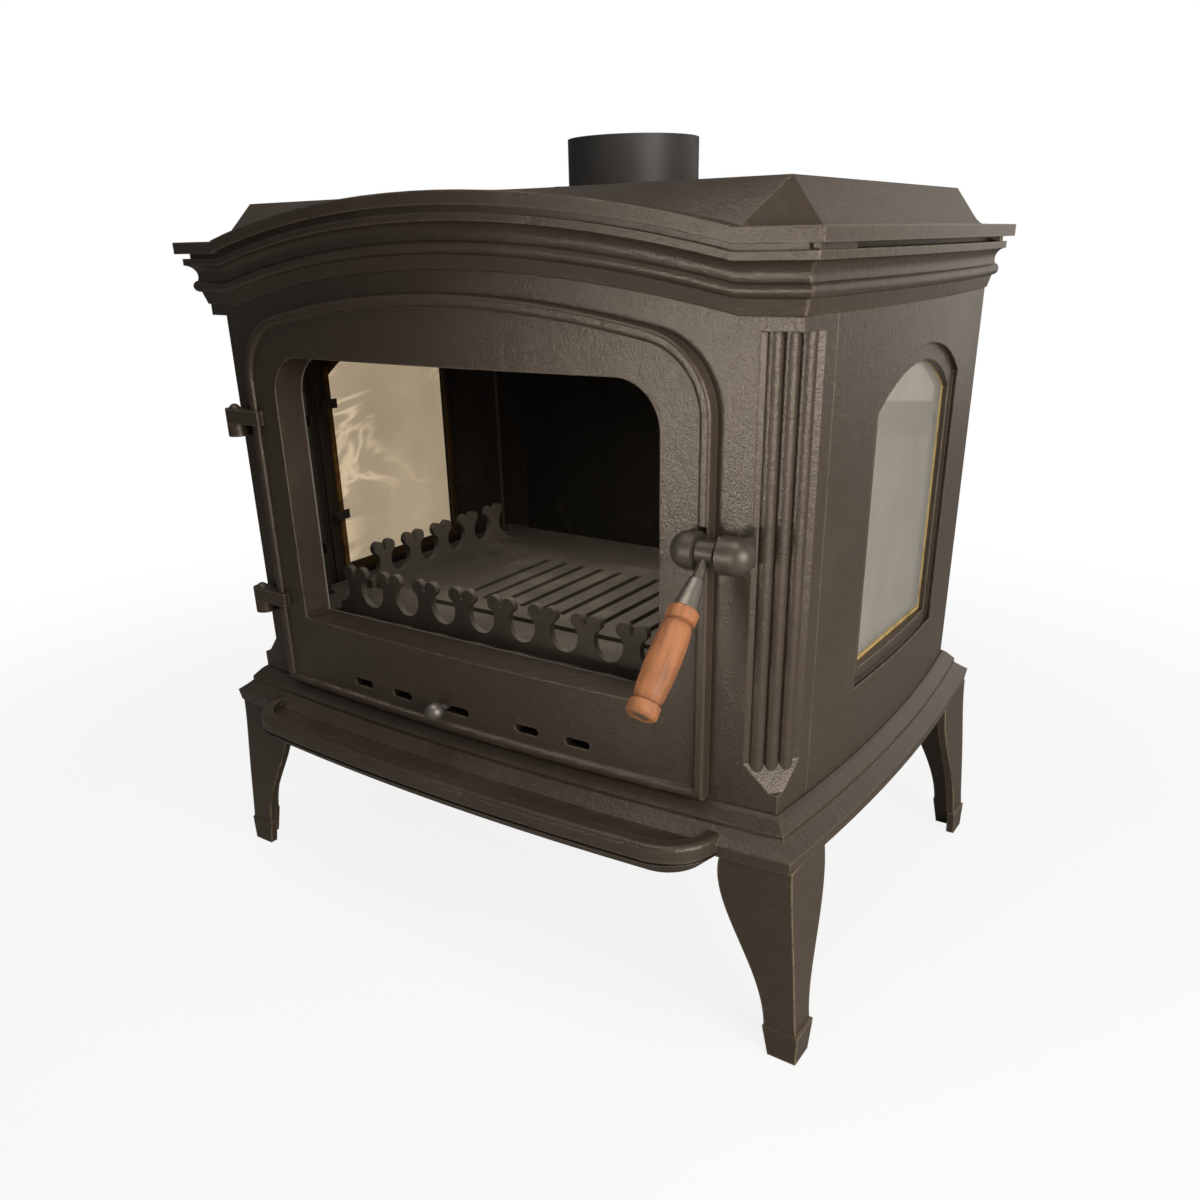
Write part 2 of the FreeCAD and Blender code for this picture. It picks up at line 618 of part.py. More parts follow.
def front_panel():
    top = BODY_TOP + S.cornice_height / 2
    wall = wall_ring(top + S.arch_rise)
    wall = wall.common(box(-S.body_width, S.body_width, -S.body_depth, S.front_return, 0, PLATEAU))
    ear = ARCH_HALF
    y = -S.body_depth
    over = S.body_width
    cap = face(
        line((-over, y, BASE_TOP), (over, y, BASE_TOP)),
        line((over, y, BASE_TOP), (over, y, BODY_TOP)),
        line((over, y, BODY_TOP), (ear, y, BODY_TOP)),
        line((ear, y, BODY_TOP), (ear, y, top)),
        arc((ear, y, top), (0, y, top + S.arch_rise), (-ear, y, top)),
        line((-ear, y, top), (-ear, y, BODY_TOP)),
        line((-ear, y, BODY_TOP), (-over, y, BODY_TOP)),
        line((-over, y, BODY_TOP), (-over, y, BASE_TOP)),
    ).extrude(Vector(0, 2 * S.body_depth, 0))
    wall = wall.common(cap)
    waste = chamfer_waste()
    backing = corner_backing().common(slab(BASE_TOP, BODY_TOP, 0))
    left = Vector(1, 0, 0)
    origin = Vector(0, 0, 0)
    shape = wall.fuse(backing).fuse(backing.mirror(origin, left)).fuse(front_cornice())
    shape = shape.cut(waste).cut(waste.mirror(origin, left))
    shape = shape.cut(through_y(door_wire(S.door_overlap, -S.body_depth), -S.body_depth, S.front_return))
    for z in (HINGE_UPPER, HINGE_LOWER):
        shape = shape.fuse(frame_lug(z))
    return feature("front_panel", shape)


def frame_lug(z):
    """Fixed half of a hinge: a knuckle on a web, bored for the pin, standing below the door's lug."""
    low = z - S.hinge_clear - S.frame_lug_height
    knuckle = rod(S.knuckle_radius, (HINGE_X, S.hinge_y, low), (HINGE_X, S.hinge_y, z - S.hinge_clear))
    web = box(HINGE_X - S.knuckle_radius, HINGE_X + S.knuckle_radius, S.hinge_y, S.wall / 2,
              low, z - S.hinge_clear)
    lug = knuckle.fuse(web)
    bore = S.pin_radius + S.pin_fit
    return lug.cut(rod(bore, (HINGE_X, S.hinge_y, low), (HINGE_X, S.hinge_y, z)))


def side_panels():
    wall = wall_ring(LID_LOW)
    keep = box(0, S.body_width, S.front_return, S.body_depth - S.wall, 0, PLATEAU)
    pad = through_x(window_wire(S.window_pad, PANE_SEAT), PANE_SEAT, HALF + S.side_bow)
    pad = pad.common(slab(BASE_TOP, LID_LOW, -S.wall / 2))
    ledge = box(LEDGE_ROOT - S.ledge, HALF, S.front_return, S.body_depth - S.wall,
                HEARTH_Z - S.ledge_thick, HEARTH_Z)
    shelf = box(LEDGE_ROOT - S.ledge, HALF, S.baffle_front, S.body_depth - S.wall,
                BAFFLE_Z - S.ledge_thick, BAFFLE_Z)
    shape = wall.common(keep).fuse(pad)
    shape = shape.fuse(ledge.fuse(shelf).common(slab(BASE_TOP, LID_LOW, -S.wall / 2)))
    shape = shape.fuse(side_cornice())
    recess = through_x(window_wire(S.surround, PANE_SEAT), PANE_SEAT, S.body_width)
    deep = slab(BASE_TOP, LID_LOW, -S.surround_depth)
    shape = shape.cut(recess.cut(deep))
    shape = shape.cut(through_x(window_wire(0, 0), 0, S.body_width))
    shape = shape.cut(box(-HALF, HALF, S.body_depth - S.wall, S.body_depth, 0, PLATEAU))
    for spot, along in side_clip_spots():
        shape = shape.cut(clip_screw(spot, along, (-1, 0, 0), -clip_sink(), 0, S.clip_screw_radius))
    left = Vector(1, 0, 0)
    feature("right_side_panel", shape)
    feature("left_side_panel", shape.mirror(Vector(0, 0, 0), left))


def back_panel():
    """Flat back plate with upright ribs outside."""
    back = S.body_depth
    plate = box(-HALF, HALF, back - S.wall, back, BASE_TOP, LID_LOW)
    for k in (-1, 0, 1):
        x = k * HALF / 2
        plate = plate.fuse(box(x - S.wall / 2, x + S.wall / 2, back, back + S.wall, BASE_TOP + S.overrun, BODY_TOP))
    return feature("back_panel", plate)


# Lid and flue

def raised(drop, thin):
    """The lid's raised middle: arched at the front edge, hipped at the sides and back."""
    low = RIM_TOP - drop
    high = PLATEAU - drop
    foot = HIP_HALF - thin
    flat = PLATEAU_HALF - thin
    ear = ARCH_HALF
    front = -S.front_bow - S.lid_overhang - S.overrun
    turn = S.plateau_front + thin

    def front_wire(y):
        step = low + S.arch_step
        return Part.Wire([
            line((-ear, y, low), (ear, y, low)),
            line((ear, y, low), (ear, y, step)),
            arc((ear, y, step), (0, y, step + S.arch_rise), (-ear, y, step)),
            line((-ear, y, step), (-ear, y, low)),
        ])

    def hip_wire(y, half_low, half_high, top):
        return Part.makePolygon([Vector(*p) for p in [
            (-half_low, y, low), (half_low, y, low), (half_high, y, top), (-half_high, y, top), (-half_low, y, low)]])

    edge = -S.lid_overhang + S.lid_rim
    nose = Part.Face(front_wire(front)).extrude(Vector(0, edge - front, 0))
    slope = Part.makeLoft([front_wire(edge), hip_wire(turn, foot, flat, high)], True, True)
    roof = Part.Face(hip_wire(turn, foot, flat, high)).extrude(Vector(0, PLATEAU_REAR - thin - turn, 0))
    rear = HIP_REAR - thin
    hip = Part.makeLoft([hip_wire(PLATEAU_REAR - thin, foot, flat, high), hip_wire(rear, foot, flat, low + S.overrun)],
                        True, True)
    return nose.fuse(slope).fuse(roof).fuse(hip)


def top_plate():
    rim = slab(LID_LOW, RIM_TOP, S.lid_overhang, S.lid_rear_overhang)
    inside = slab(LID_LOW - S.overrun, PLATEAU + S.overrun, S.lid_overhang, S.lid_rear_overhang)
    whole = rim.fuse(raised(0, 0).common(inside))
    behind = box(-S.body_width, S.body_width, S.plateau_front, S.body_width, 0, PLATEAU)
    shape = whole.cut(raised(S.lid_rim, S.lid_wall)).cut(raised(S.lid_wall, S.lid_wall).common(behind))
    for x, y in tie_spots():
        shape = shape.fuse(rod(S.bolt_boss, (x, y, LID_LOW), (x, y, PLATEAU)).common(whole))
        shape = shape.cut(rod(S.tie_radius, (x, y, LID_LOW), (x, y, RIM_TOP)))
    bore = rod(S.flue_outer / 2 - S.flue_spigot, (0, FLUE_Y, LID_LOW), (0, FLUE_Y, PLATEAU + S.overrun))
    shape = shape.cut(bore)
    for x, y in flue_bolt_spots():
        shape = shape.cut(rod(S.bolt_radius, (x, y, LID_LOW), (x, y, PLATEAU + S.overrun)))
    return feature("top_plate", shape)


def flue_bolt_spots():
    """Collar bolts on the flange's pitch circle, set between the axes."""
    pitch = S.flue_outer / 2 + S.flange_width / 2
    turn = [math.pi * (2 * k + 1) / S.flue_bolts for k in range(S.flue_bolts)]
    return [(pitch * math.cos(a), FLUE_Y + pitch * math.sin(a)) for a in turn]


def flue_collar():
    outer = S.flue_outer / 2
    inner = S.flue_inner / 2
    wide = outer + S.flange_width
    profile = loop([(inner, 0), (wide, 0), (wide, S.flange_thick), (outer, S.flange_thick),
                    (outer, S.flue_height), (inner, S.flue_height)])
    body = turned("FlueCollarBody", profile)
    holes = [cylinder("FlueHole%d" % k, "Sizes.bolt_radius", "Sizes.flue_height", (x, y - FLUE_Y, 0))
             for k, (x, y) in enumerate(flue_bolt_spots())]
    cut = DOC.addObject("Part::Cut", "FlueCollar")
    cut.Base = body
    cut.Tool = joined("FlueHoles", holes)
    DOC.recompute()
    cut.Placement = Placement(Vector(0, 0, PLATEAU), Rotation())
    cut.setExpression("Placement.Base.y", "Sizes.body_depth - Sizes.flue_from_rear - Sizes.front_line")
    return name_it(cut, "flue_collar", False)


def flue_bolts():
    bolts = []
    for k, (x, y) in enumerate(flue_bolt_spots()):
        top = PLATEAU + S.flange_thick
        head = cylinder("FlueBoltHead%d" % k, "Sizes.bolt_head", "Sizes.bolt_head_thick", (x, y, top))
        shank = cylinder("FlueBoltShank%d" % k, "Sizes.bolt_radius", "Sizes.flange_thick + Sizes.lid_rim",
                         (x, y, PLATEAU - S.lid_rim))
        bolts.append(joined("FlueBolt%d" % k, [head, shank]))
    return group("flue_collar_bolts", bolts)


def tie_spots():
    x = HALF - S.tie_side
    rear = S.body_depth - S.tie_rear
    return [(x, S.tie_front), (-x, S.tie_front), (x, rear), (-x, rear)]


def tie_rods():
    rods = []
    for k, (x, y) in enumerate(tie_spots()):
        low = BASE_TOP - S.base_floor - S.nut_height
        stud = cylinder("TieStud%d" % k, "Sizes.tie_radius",
                        "Sizes.nut_height + Sizes.base_floor + Sizes.panel_height + Sizes.cornice_height"
                        " + Sizes.lid_gap + Sizes.lid_rim", (x, y, low))
        nut = DOC.addObject("Part::Prism", "TieNut%d" % k)
        nut.Polygon = 6
        nut.setExpression("Circumradius", "Sizes.nut_radius")
        nut.setExpression("Height", "Sizes.nut_height")
        nut.Placement = Placement(Vector(x, y, low), Rotation())
        rods.append(joined("TieRod%d" % k, [stud, nut]))
    return group("tie_rods", rods)


# Door

def air_slots():
    """Centres of the air slots along the door's lower rail."""
    outer = GUIDE_X - S.air_from_guide
    inner = outer * S.air_inner_share
    return [-outer, -inner, inner, outer]


def slot_prism(x, z, length, height, y0, y1):
    half = (length - height) / 2
    r = height / 2
    core = box(x - half, x + half, y0, y1, z - r, z + r)
    ends = [rod(r, (x + e, y0, z), (x + e, y1, z)) for e in (-half, half)]
    return core.fuse(ends[0]).fuse(ends[1])


def stem_slot_prism(y0, y1):
    middle = S.knob_rest + S.slide_travel / 2
    wide = 2 * (S.stem_radius + S.stem_clear)
    return slot_prism(middle, AIR_Z, S.slide_travel + wide, wide, y0, y1)


def door_frame():
    far = -S.body_depth
    deep = S.reveal_back
    back = S.door_stand_off
    front = back + S.door_plate
    plate = through_y(door_wire(0, far), far, deep).common(front_shell(back, front))
    bead = through_y(door_wire(0, far), far, deep).cut(through_y(door_wire(S.door_bead_width, far), far, deep))
    bead = bead.common(front_shell(back, front + S.door_bead))
    crest = [e for e in bead.Edges if e.Length > S.door_corner and on_bow(e, front + S.door_bead)]
    bead = bead.makeFillet(S.door_bead * 0.9, crest)
    within = Part.makeCylinder(FRONT_RADIUS + front, PLATEAU, Vector(0, FRONT_RADIUS - S.front_bow, 0))
    reveal = through_y(glass_wire(S.reveal_wall, far), far, deep).common(within)
    rail = box(-PAD_HALF, PAD_HALF, far, -S.pad_back, PAD_LOW, PAD_HIGH).common(within)
    shape = plate.fuse(bead).fuse(reveal).fuse(rail)
    shape = shape.cut(through_y(glass_wire(0, far), far, S.body_depth))
    groove = through_y(door_wire(S.rope_groove_inset, far), far, deep)
    groove = groove.cut(through_y(door_wire(S.rope_groove_inset + S.rope_width, far), far, deep))
    shape = shape.cut(groove.common(front_shell(0, back + S.rope_depth)))
    for x in air_slots():
        shape = shape.cut(slot_prism(x, AIR_Z, S.air_length, S.air_height, far, 0))
    shape = shape.cut(stem_slot_prism(far, 0))
    for x in guide_spots():
        shape = shape.cut(rod(S.guide_radius, (x, -S.pad_back, AIR_Z), (x, -S.pad_back - S.wall / 2, AIR_Z)))
    for spot, along in door_clip_spots():
        shape = shape.cut(clip_screw(spot, along, (0, 1, 0), -clip_sink(), 0, S.clip_screw_radius))
    for z in (HINGE_UPPER, HINGE_LOWER):
        shape = shape.fuse(door_lug(z))
    boss = rod(S.boss_radius + S.overrun, boss_spot(0), boss_spot(-S.boss_length))
    return feature("door_frame", shape.cut(boss.common(front_shell(front, 2 * S.boss_radius))))


def on_bow(edge, out):
    """Whether an edge lies on the bow that stands `out` from the panel's face."""
    spots = [edge.valueAt(edge.FirstParameter + t * (edge.LastParameter - edge.FirstParameter)) for t in (0, 0.5, 1)]
    return all(abs(p.y - front_y(p.x, out)) < S.seal_clear for p in spots)


def door_lug(z):
    """Moving half of a hinge: a bored knuckle on a bar that runs on to the door's face."""
    high = z + S.lug_height
    knuckle = rod(S.knuckle_radius, (HINGE_X, S.hinge_y, z), (HINGE_X, S.hinge_y, high))
    y = S.hinge_y - S.knuckle_radius
    bar = box(HINGE_X, HINGE_X + S.lug_reach, y, y + S.lug_thick + S.knuckle_radius, z, high)
    groove = S.door_stand_off + S.rope_depth
    shell = Part.makeCylinder(FRONT_RADIUS + groove, PLATEAU, Vector(0, FRONT_RADIUS - S.front_bow, 0))
    lug = knuckle.fuse(bar.cut(shell))
    return lug.cut(rod(S.pin_radius, (HINGE_X, S.hinge_y, z), (HINGE_X, S.hinge_y, high)))


def hinge_pins():
    low = S.frame_lug_height + S.hinge_clear
    for label, z in (("upper_hinge_pin", UPPER_HINGE), ("lower_hinge_pin", LOWER_HINGE)):
        r, head = S.pin_radius, S.pin_head_radius
        top = S.lug_height
        dome = top + S.pin_head_height
        ball = bow_radius(head, S.pin_head_height)
        half = math.asin(head / ball) / 2
        profile = [
            *[Part.LineSegment(Vector(*a, 0), Vector(*b, 0)) for a, b in [
                ((0, dome), (0, -low)), ((0, -low), (r, -low)), ((r, -low), (r, top)), ((r, top), (head, top))]],
            Part.Arc(Vector(head, top, 0), Vector(ball * math.sin(half), dome - ball * (1 - math.cos(half)), 0),
                     Vector(0, dome, 0)),
        ]
        pin = turned(label, profile)
        pin.setExpression("Placement.Base.x", "Sizes.door_margin - Sizes.body_width / 2 - Sizes.hinge_out")
        pin.setExpression("Placement.Base.y", "Sizes.hinge_y - Sizes.front_line")
        pin.setExpression("Placement.Base.z", z)
        name_it(pin, label, False)


def door_glazing():
    y = S.reveal_back
    gasket = through_y(glass_wire(S.gasket_width, y), y, y + S.gasket_thick)
    feature("door_glass_gasket", gasket.cut(through_y(glass_wire(0, y), y, y + S.gasket_thick)))
    y = y + S.gasket_thick
    feature("door_glass", through_y(glass_wire(S.glass_overlap, y), y, y + S.glass_thick))
    far = -S.body_depth
    inset = S.rope_groove_inset + S.rope_clear
    rope = through_y(door_wire(inset, far), far, S.reveal_back)
    rope = rope.cut(through_y(door_wire(inset + S.rope_width - 2 * S.rope_clear, far), far, S.reveal_back))
    feature("door_rope_seal", rope.common(front_shell(S.seal_clear, S.door_stand_off + S.rope_depth)))


def guide_spots():
    """Screws of the register plate, half a travel to the right of the plate's own slots at rest."""
    return [S.slide_travel / 2 - GUIDE_X, S.slide_travel / 2 + GUIDE_X]


def air_slide():
    """Register plate behind the lower rail, slotted like the rail, with its knob in front."""
    back = -S.pad_back
    r = S.guide_radius + S.stem_clear
    half = S.slide_height / 2
    plate = box(-SLIDE_HALF, SLIDE_HALF, back + S.slide_clear,
                back + S.slide_clear + S.slide_thick, AIR_Z - half, AIR_Z + half)
    for x in air_slots():
        plate = plate.cut(slot_prism(x, AIR_Z, S.air_length, S.air_height, far_front(), 0))
    for x in guide_spots():
        plate = plate.cut(slot_prism(x - S.slide_travel / 2, AIR_Z, S.slide_travel + 2 * r, 2 * r, far_front(), 0))
    feature("air_slide", plate)
    y = front_y(S.knob_rest, S.door_stand_off + S.door_plate)
    ball = Part.makeSphere(S.knob_radius, Vector(S.knob_rest, y - S.knob_reach + S.knob_radius, AIR_Z))
    stem = rod(S.stem_radius, (S.knob_rest, y - S.knob_radius, AIR_Z), (S.knob_rest, back + S.slide_clear, AIR_Z))
    feature("air_knob", ball.fuse(stem))
    screws = []
    for x in guide_spots():
        gap = back + 2 * S.slide_clear + S.slide_thick
        shank = rod(S.guide_radius, (x, back - S.wall / 2, AIR_Z), (x, gap, AIR_Z))
        screws.append(shank.fuse(rod(S.guide_head, (x, gap, AIR_Z), (x, gap + S.guide_head_thick, AIR_Z))))
    obj = DOC.addObject("Part::Feature", "slide_screws")
    obj.Shape = Part.makeCompound(screws)
    name_it(obj, "slide_screws")


def far_front():
    return -S.body_depth


def clip_screw(spot, along, facing, low, high, radius):
    """Round length of a clip's screw, between two heights over the clip's seat."""
    spot, along, facing = Vector(*spot), Vector(*along), Vector(*facing)
    hole = spot - along * (S.clip_length / 4)
    return Part.makeCylinder(radius, high - low, hole + facing * low, facing)


def clip_sink():
    return S.glass_thick + S.gasket_thick + S.clip_screw_bite


def clip_shapes(spots, facing):
    """Spring clips and their screws: each clip laps the pane's edge from the casting beside it."""
    clips, screws = [], []
    for start, way in spots:
        spot, along, out = Vector(*start), Vector(*way), Vector(*facing)
        across = out.cross(along)
        corner = spot - along * (S.clip_length / 2) - across * (S.clip_width / 2)
        outline = [corner, corner + along * S.clip_length, corner + along * S.clip_length + across * S.clip_width,
                   corner + across * S.clip_width]
        plate = Part.Face(Part.makePolygon(outline + outline[:1])).extrude(out * S.clip_thick)
        t = S.clip_thick
        clips.append(plate.cut(clip_screw(start, way, facing, 0, t, S.clip_screw_radius)))
        shank = clip_screw(start, way, facing, -clip_sink(), t, S.clip_screw_radius)
        screws.append(shank.fuse(clip_screw(start, way, facing, t, 2 * t, S.clip_screw_head)))
    return clips, screws


def compound(label, shapes):
    obj = DOC.addObject("Part::Feature", label)
    obj.Shape = Part.makeCompound(shapes)
    return name_it(obj, label)


def door_clip_spots():
    y = S.reveal_back + S.gasket_thick + S.glass_thick
    x = GLASS_HALF + S.glass_overlap
    middle = (GLASS_LOW + GLASS_HIGH) / 2
    gap = (GLASS_HIGH - GLASS_LOW) / 4
    return [((side * x, y, z), (-side, 0, 0)) for z in (middle - gap, middle + gap) for side in (1, -1)]


def door_clips():
    clips, screws = clip_shapes(door_clip_spots(), (0, 1, 0))
    compound("door_glass_clips", clips)
    compound("door_clip_screws", screws)


# Latch and handle

def boss_spot(shift):
    """Point on the latch line, `shift` to the right of the door boss's flat end."""
    return (LATCH_X - S.hub_width / 2 - S.boss_gap + shift, S.latch_y, LATCH_Z)


def keeper_spot(shift):
    return (LATCH_X + S.hub_width / 2 + S.keeper_face_gap + shift, S.latch_y, LATCH_Z)


def half_egg(spot, side, length, clip_out):
    """Boss like half an egg, flat towards the lever, on a narrower foot whose flange lies on the bowed face."""
    x, y, z = spot
    middle = Vector(x + side * (length - S.boss_radius), y, z)
    inward = Vector(0, 1, 0)
    egg = Part.makeSphere(S.boss_radius, middle).fuse(rod(S.boss_radius, spot, tuple(middle)))
    foot = Part.makeCylinder(S.boss_foot, 2 * S.boss_radius, middle, inward)
    flange = Part.makeCylinder(S.boss_flange, 2 * S.boss_radius, middle, inward)
    flange = flange.common(front_shell(clip_out, clip_out + S.boss_flange_thick))
    x0, x1 = sorted((x, x + side * (length + S.overrun)))
    keep = box(x0, x1, -S.body_depth, S.body_depth, 0, PLATEAU)
    seat = box(x0, min(x1, HALF - S.chamfer), -S.body_depth, S.body_depth, 0, PLATEAU)
    inner = Part.makeCylinder(FRONT_RADIUS + clip_out, PLATEAU, Vector(0, FRONT_RADIUS - S.front_bow, 0))
    return egg.common(keep).fuse(foot.fuse(flange).common(seat)).cut(inner)


def latch():
    front = S.door_stand_off + S.door_plate
    boss = half_egg(boss_spot(0), -1, S.boss_length, front)
    deep = S.boss_length / 2
    boss = boss.cut(rod(S.pivot_radius, boss_spot(0), boss_spot(-deep)))
    edge = through_y(door_wire(0, far_front()), far_front(), S.reveal_back)
    boss = boss.common(edge.fuse(box(-HALF, HALF, far_front(), front_y(LATCH_X, front), 0, PLATEAU)))
    bead = edge.cut(through_y(door_wire(S.door_bead_width, far_front()), far_front(), S.reveal_back))
    feature("latch_boss", boss.cut(bead.common(front_shell(0, front + S.door_bead))))
    keeper = half_egg(keeper_spot(0), 1, S.keeper_length, 0)
    low = LATCH_Z + S.keeper_rise
    stub = rod(S.keeper_radius, (keeper_spot(0)[0], S.latch_y, low), (keeper_spot(deep)[0], S.latch_y, low))
    feature("keeper_boss", keeper.cut(stub).cut(front_panel_room()))
    tip = LATCH_X + S.hub_width / 2 + S.keeper_end_gap
    feature("keeper_rod", rod(S.keeper_radius, (tip, S.latch_y, low), (keeper_spot(deep)[0], S.latch_y, low)))
    end = 2 * S.boss_gap + S.hub_width
    pin = rod(S.pivot_radius, boss_spot(-deep), boss_spot(end))
    feature("lever_pivot_pin", pin.fuse(rod(S.pivot_head, boss_spot(end), boss_spot(end + S.pivot_head_thick))))


def front_panel_room():
    """Where the door's edge passes beside the keeper."""
    edge = through_y(door_wire(-S.door_gap, far_front()), far_front(), S.reveal_back)
    return edge.common(front_shell(0, S.door_stand_off + S.door_plate + S.door_bead + S.door_gap))


def handle():
    """Lever, ferrule, grip and its screw, drawn along x and swung down and forwards from the pivot."""
    wide = S.hub_width
    half = wide / 2
    hub = rod(S.hub_radius, (-half, 0, 0), (half, 0, 0))
    neck = rod(S.neck_radius, (0, 0, 0), (0, 0, -S.neck_end))
    shape = hub.fuse(neck).cut(rod(S.pivot_radius + S.pin_fit, (-half, 0, 0), (half, 0, 0)))
    lean = Rotation(Vector(1, 0, 0), -S.lever_angle)
    place_on_lever(solid("handle_lever", shape), lean)
    start = S.neck_end
    end = start + S.ferrule_length
    thin, full = S.ferrule_thin, S.ferrule_wide
    ferrule = turned("handle_ferrule", loop([(0, -start), (thin, -start), (full, -end), (S.rod_radius, -end),
                                             (0, -end)]))
    place_on_lever(ferrule, lean)
    place_on_lever(turned("wooden_grip", grip_profile(end)), lean)
    tail = end + S.grip_length
    bar = loop([(0, -end), (S.rod_radius, -end), (S.rod_radius, S.screw_sink - tail),
                (S.screw_head, S.screw_sink - tail), (S.screw_head, S.screw_sink - tail - S.screw_head_thick),
                (0, S.screw_sink - tail - S.screw_head_thick)])
    place_on_lever(turned("grip_screw", bar), lean)


def solid(label, shape):
    obj = DOC.addObject("Part::Feature", label)
    obj.Shape = shape.removeSplitter()
    return obj


def place_on_lever(obj, lean):
    obj.Placement = Placement(Vector(LATCH_X, S.latch_y - S.front_line, LATCH_Z), lean)
    name_it(obj, obj.Label, False)


def grip_profile(start):
    """Turned grip: collar, groove, swelling barrel, groove and end collar with a sunk screw seat."""
    tail = start + S.grip_length
    collar = S.grip_collar_length
    near = start + collar + S.grip_groove
    far = tail - collar - S.grip_groove
    r = S.grip_collar
    e = S.grip_edge
    inner = S.rod_radius
    seat = S.screw_head

    def spot(radius, down):
        return Vector(radius, -down, 0)

    return [
        Part.LineSegment(spot(inner, start), spot(r - e, start)),
        Part.LineSegment(spot(r - e, start), spot(r, start + e)),
        Part.LineSegment(spot(r, start + e), spot(r, start + collar - e)),
        Part.LineSegment(spot(r, start + collar - e), spot(S.grip_neck, start + collar)),
        Part.LineSegment(spot(S.grip_neck, start + collar), spot(S.grip_neck + e, near)),
        Part.Arc(spot(S.grip_neck + e, near), spot(S.grip_belly, (near + far) / 2), spot(S.grip_neck + e, far)),
        Part.LineSegment(spot(S.grip_neck + e, far), spot(S.grip_neck, far + S.grip_groove)),
        Part.LineSegment(spot(S.grip_neck, far + S.grip_groove), spot(r, far + S.grip_groove + e)),
        Part.LineSegment(spot(r, far + S.grip_groove + e), spot(r, tail - e)),
        Part.LineSegment(spot(r, tail - e), spot(r - e, tail)),
        Part.LineSegment(spot(r - e, tail), spot(seat, tail)),
        Part.LineSegment(spot(seat, tail), spot(seat, tail - S.screw_sink)),
        Part.LineSegment(spot(seat, tail - S.screw_sink), spot(inner, tail - S.screw_sink)),
        Part.LineSegment(spot(inner, tail - S.screw_sink), spot(inner, start)),
    ]


# Side windows

def side_clip_spots():
    """Clips of the right window, two on each upright edge."""
    x = PANE_SEAT - S.gasket_thick - S.glass_thick
    reach = S.window_half_width + S.glass_overlap
    gap = (WINDOW_HIGH - WINDOW_LOW) / 4
    return [((x, WINDOW_CENTRE + side * reach, z), (0, -side, 0))
            for z in (WINDOW_LOW + gap, WINDOW_HIGH - gap) for side in (-1, 1)]


def side_glazing():
    left = Vector(1, 0, 0)
    origin = Vector(0, 0, 0)
    face_x = PANE_SEAT
    t = S.gasket_thick
    gasket = through_x(window_wire(S.gasket_width, face_x), face_x, face_x - t)
    gasket = gasket.cut(through_x(window_wire(0, face_x), face_x, face_x - t))
    glass_x = face_x - t
    pane = through_x(window_wire(S.glass_overlap, glass_x), glass_x, glass_x - S.glass_thick)
    for name, shape in (("side_glass", pane), ("side_glass_gasket", gasket)):
        feature("right_" + name, shape)
        feature("left_" + name, shape.mirror(origin, left))
    clips, screws = clip_shapes(side_clip_spots(), (-1, 0, 0))
    compound("side_glass_clips", clips + [c.mirror(origin, left) for c in clips])
    compound("side_clip_screws", screws + [c.mirror(origin, left) for c in screws])


# Fire side

def hearth():
    half = LEDGE_ROOT - S.hearth_clear
    rear = S.body_depth - S.hearth_rear_gap
    x, y = S.grate_length / 2, S.grate_width / 2
    reach = HALF - BACKING_LEG - 2 * S.hearth_clear
    near, back = reach + S.hearth_front, half - reach
    edges = loop([(-near, S.hearth_front), (near, S.hearth_front), (half, back), (half, rear), (-half, rear),
                  (-half, back)])
    edges += loop([(-x, GRATE_Y - y), (x, GRATE_Y - y), (x, GRATE_Y + y), (-x, GRATE_Y + y)])
    edges += [ring_edge(u, v, S.tie_radius + S.hearth_clear) for u, v in tie_spots()]
    plate = padded("hearth_plate", "XY", edges, "Sizes.hearth_thick", BASE_LEVEL + " + Sizes.hearth_rise")
    name_it(plate, "hearth_plate")


def grate():
    """Grate dropped into the hearth on its lip, slotted from front to back."""
    x, y = S.grate_length / 2, S.grate_width / 2
    clear = S.hearth_clear / 2
    top = HEARTH_TOP + S.grate_thick / 2
    lip = box(-x - S.grate_lip, x + S.grate_lip, GRATE_Y - y - S.grate_lip, GRATE_Y + y + S.grate_lip,
              HEARTH_TOP, top)
    core = box(-x + clear, x - clear, GRATE_Y - y + clear, GRATE_Y + y - clear, top - S.grate_thick, top)
    shape = lip.fuse(core)
    pitch = (S.grate_length - S.grate_end) / S.grate_slots
    for k in range(S.grate_slots):
        u = (k - (S.grate_slots - 1) / 2) * pitch
        bar = box(u - S.grate_slot / 2, u + S.grate_slot / 2, GRATE_Y - y + S.grate_end, GRATE_Y + y - S.grate_end,
                  0, PLATEAU)
        shape = shape.cut(bar)
    feature("grate", shape)


def ash_pan():
    x = S.pan_length / 2
    y0, y1 = S.pan_front, S.pan_front + S.pan_width
    t = S.pan_wall
    shape = box(-x, x, y0, y1, BASE_TOP, BASE_TOP + S.pan_height)
    shape = shape.cut(box(-x + t, x - t, y0 + t, y1 - t, BASE_TOP + t, PLATEAU))
    z = BASE_TOP + S.pan_height / 2
    half = S.pan_grip / 2
    bar = S.pan_grip_bar
    grip = rod(bar, (-half, y0 - S.pan_grip_depth, z), (half, y0 - S.pan_grip_depth, z))
    for side in (-half, half):
        grip = grip.fuse(rod(bar, (side, y0 - S.pan_grip_depth, z), (side, y0 + t, z)))
        grip = grip.fuse(Part.makeSphere(bar, Vector(side, y0 - S.pan_grip_depth, z)))
    shape = shape.fuse(grip.cut(box(-x + t, x - t, y0 + t, y1, 0, PLATEAU)))
    feature("ash_pan", shape)


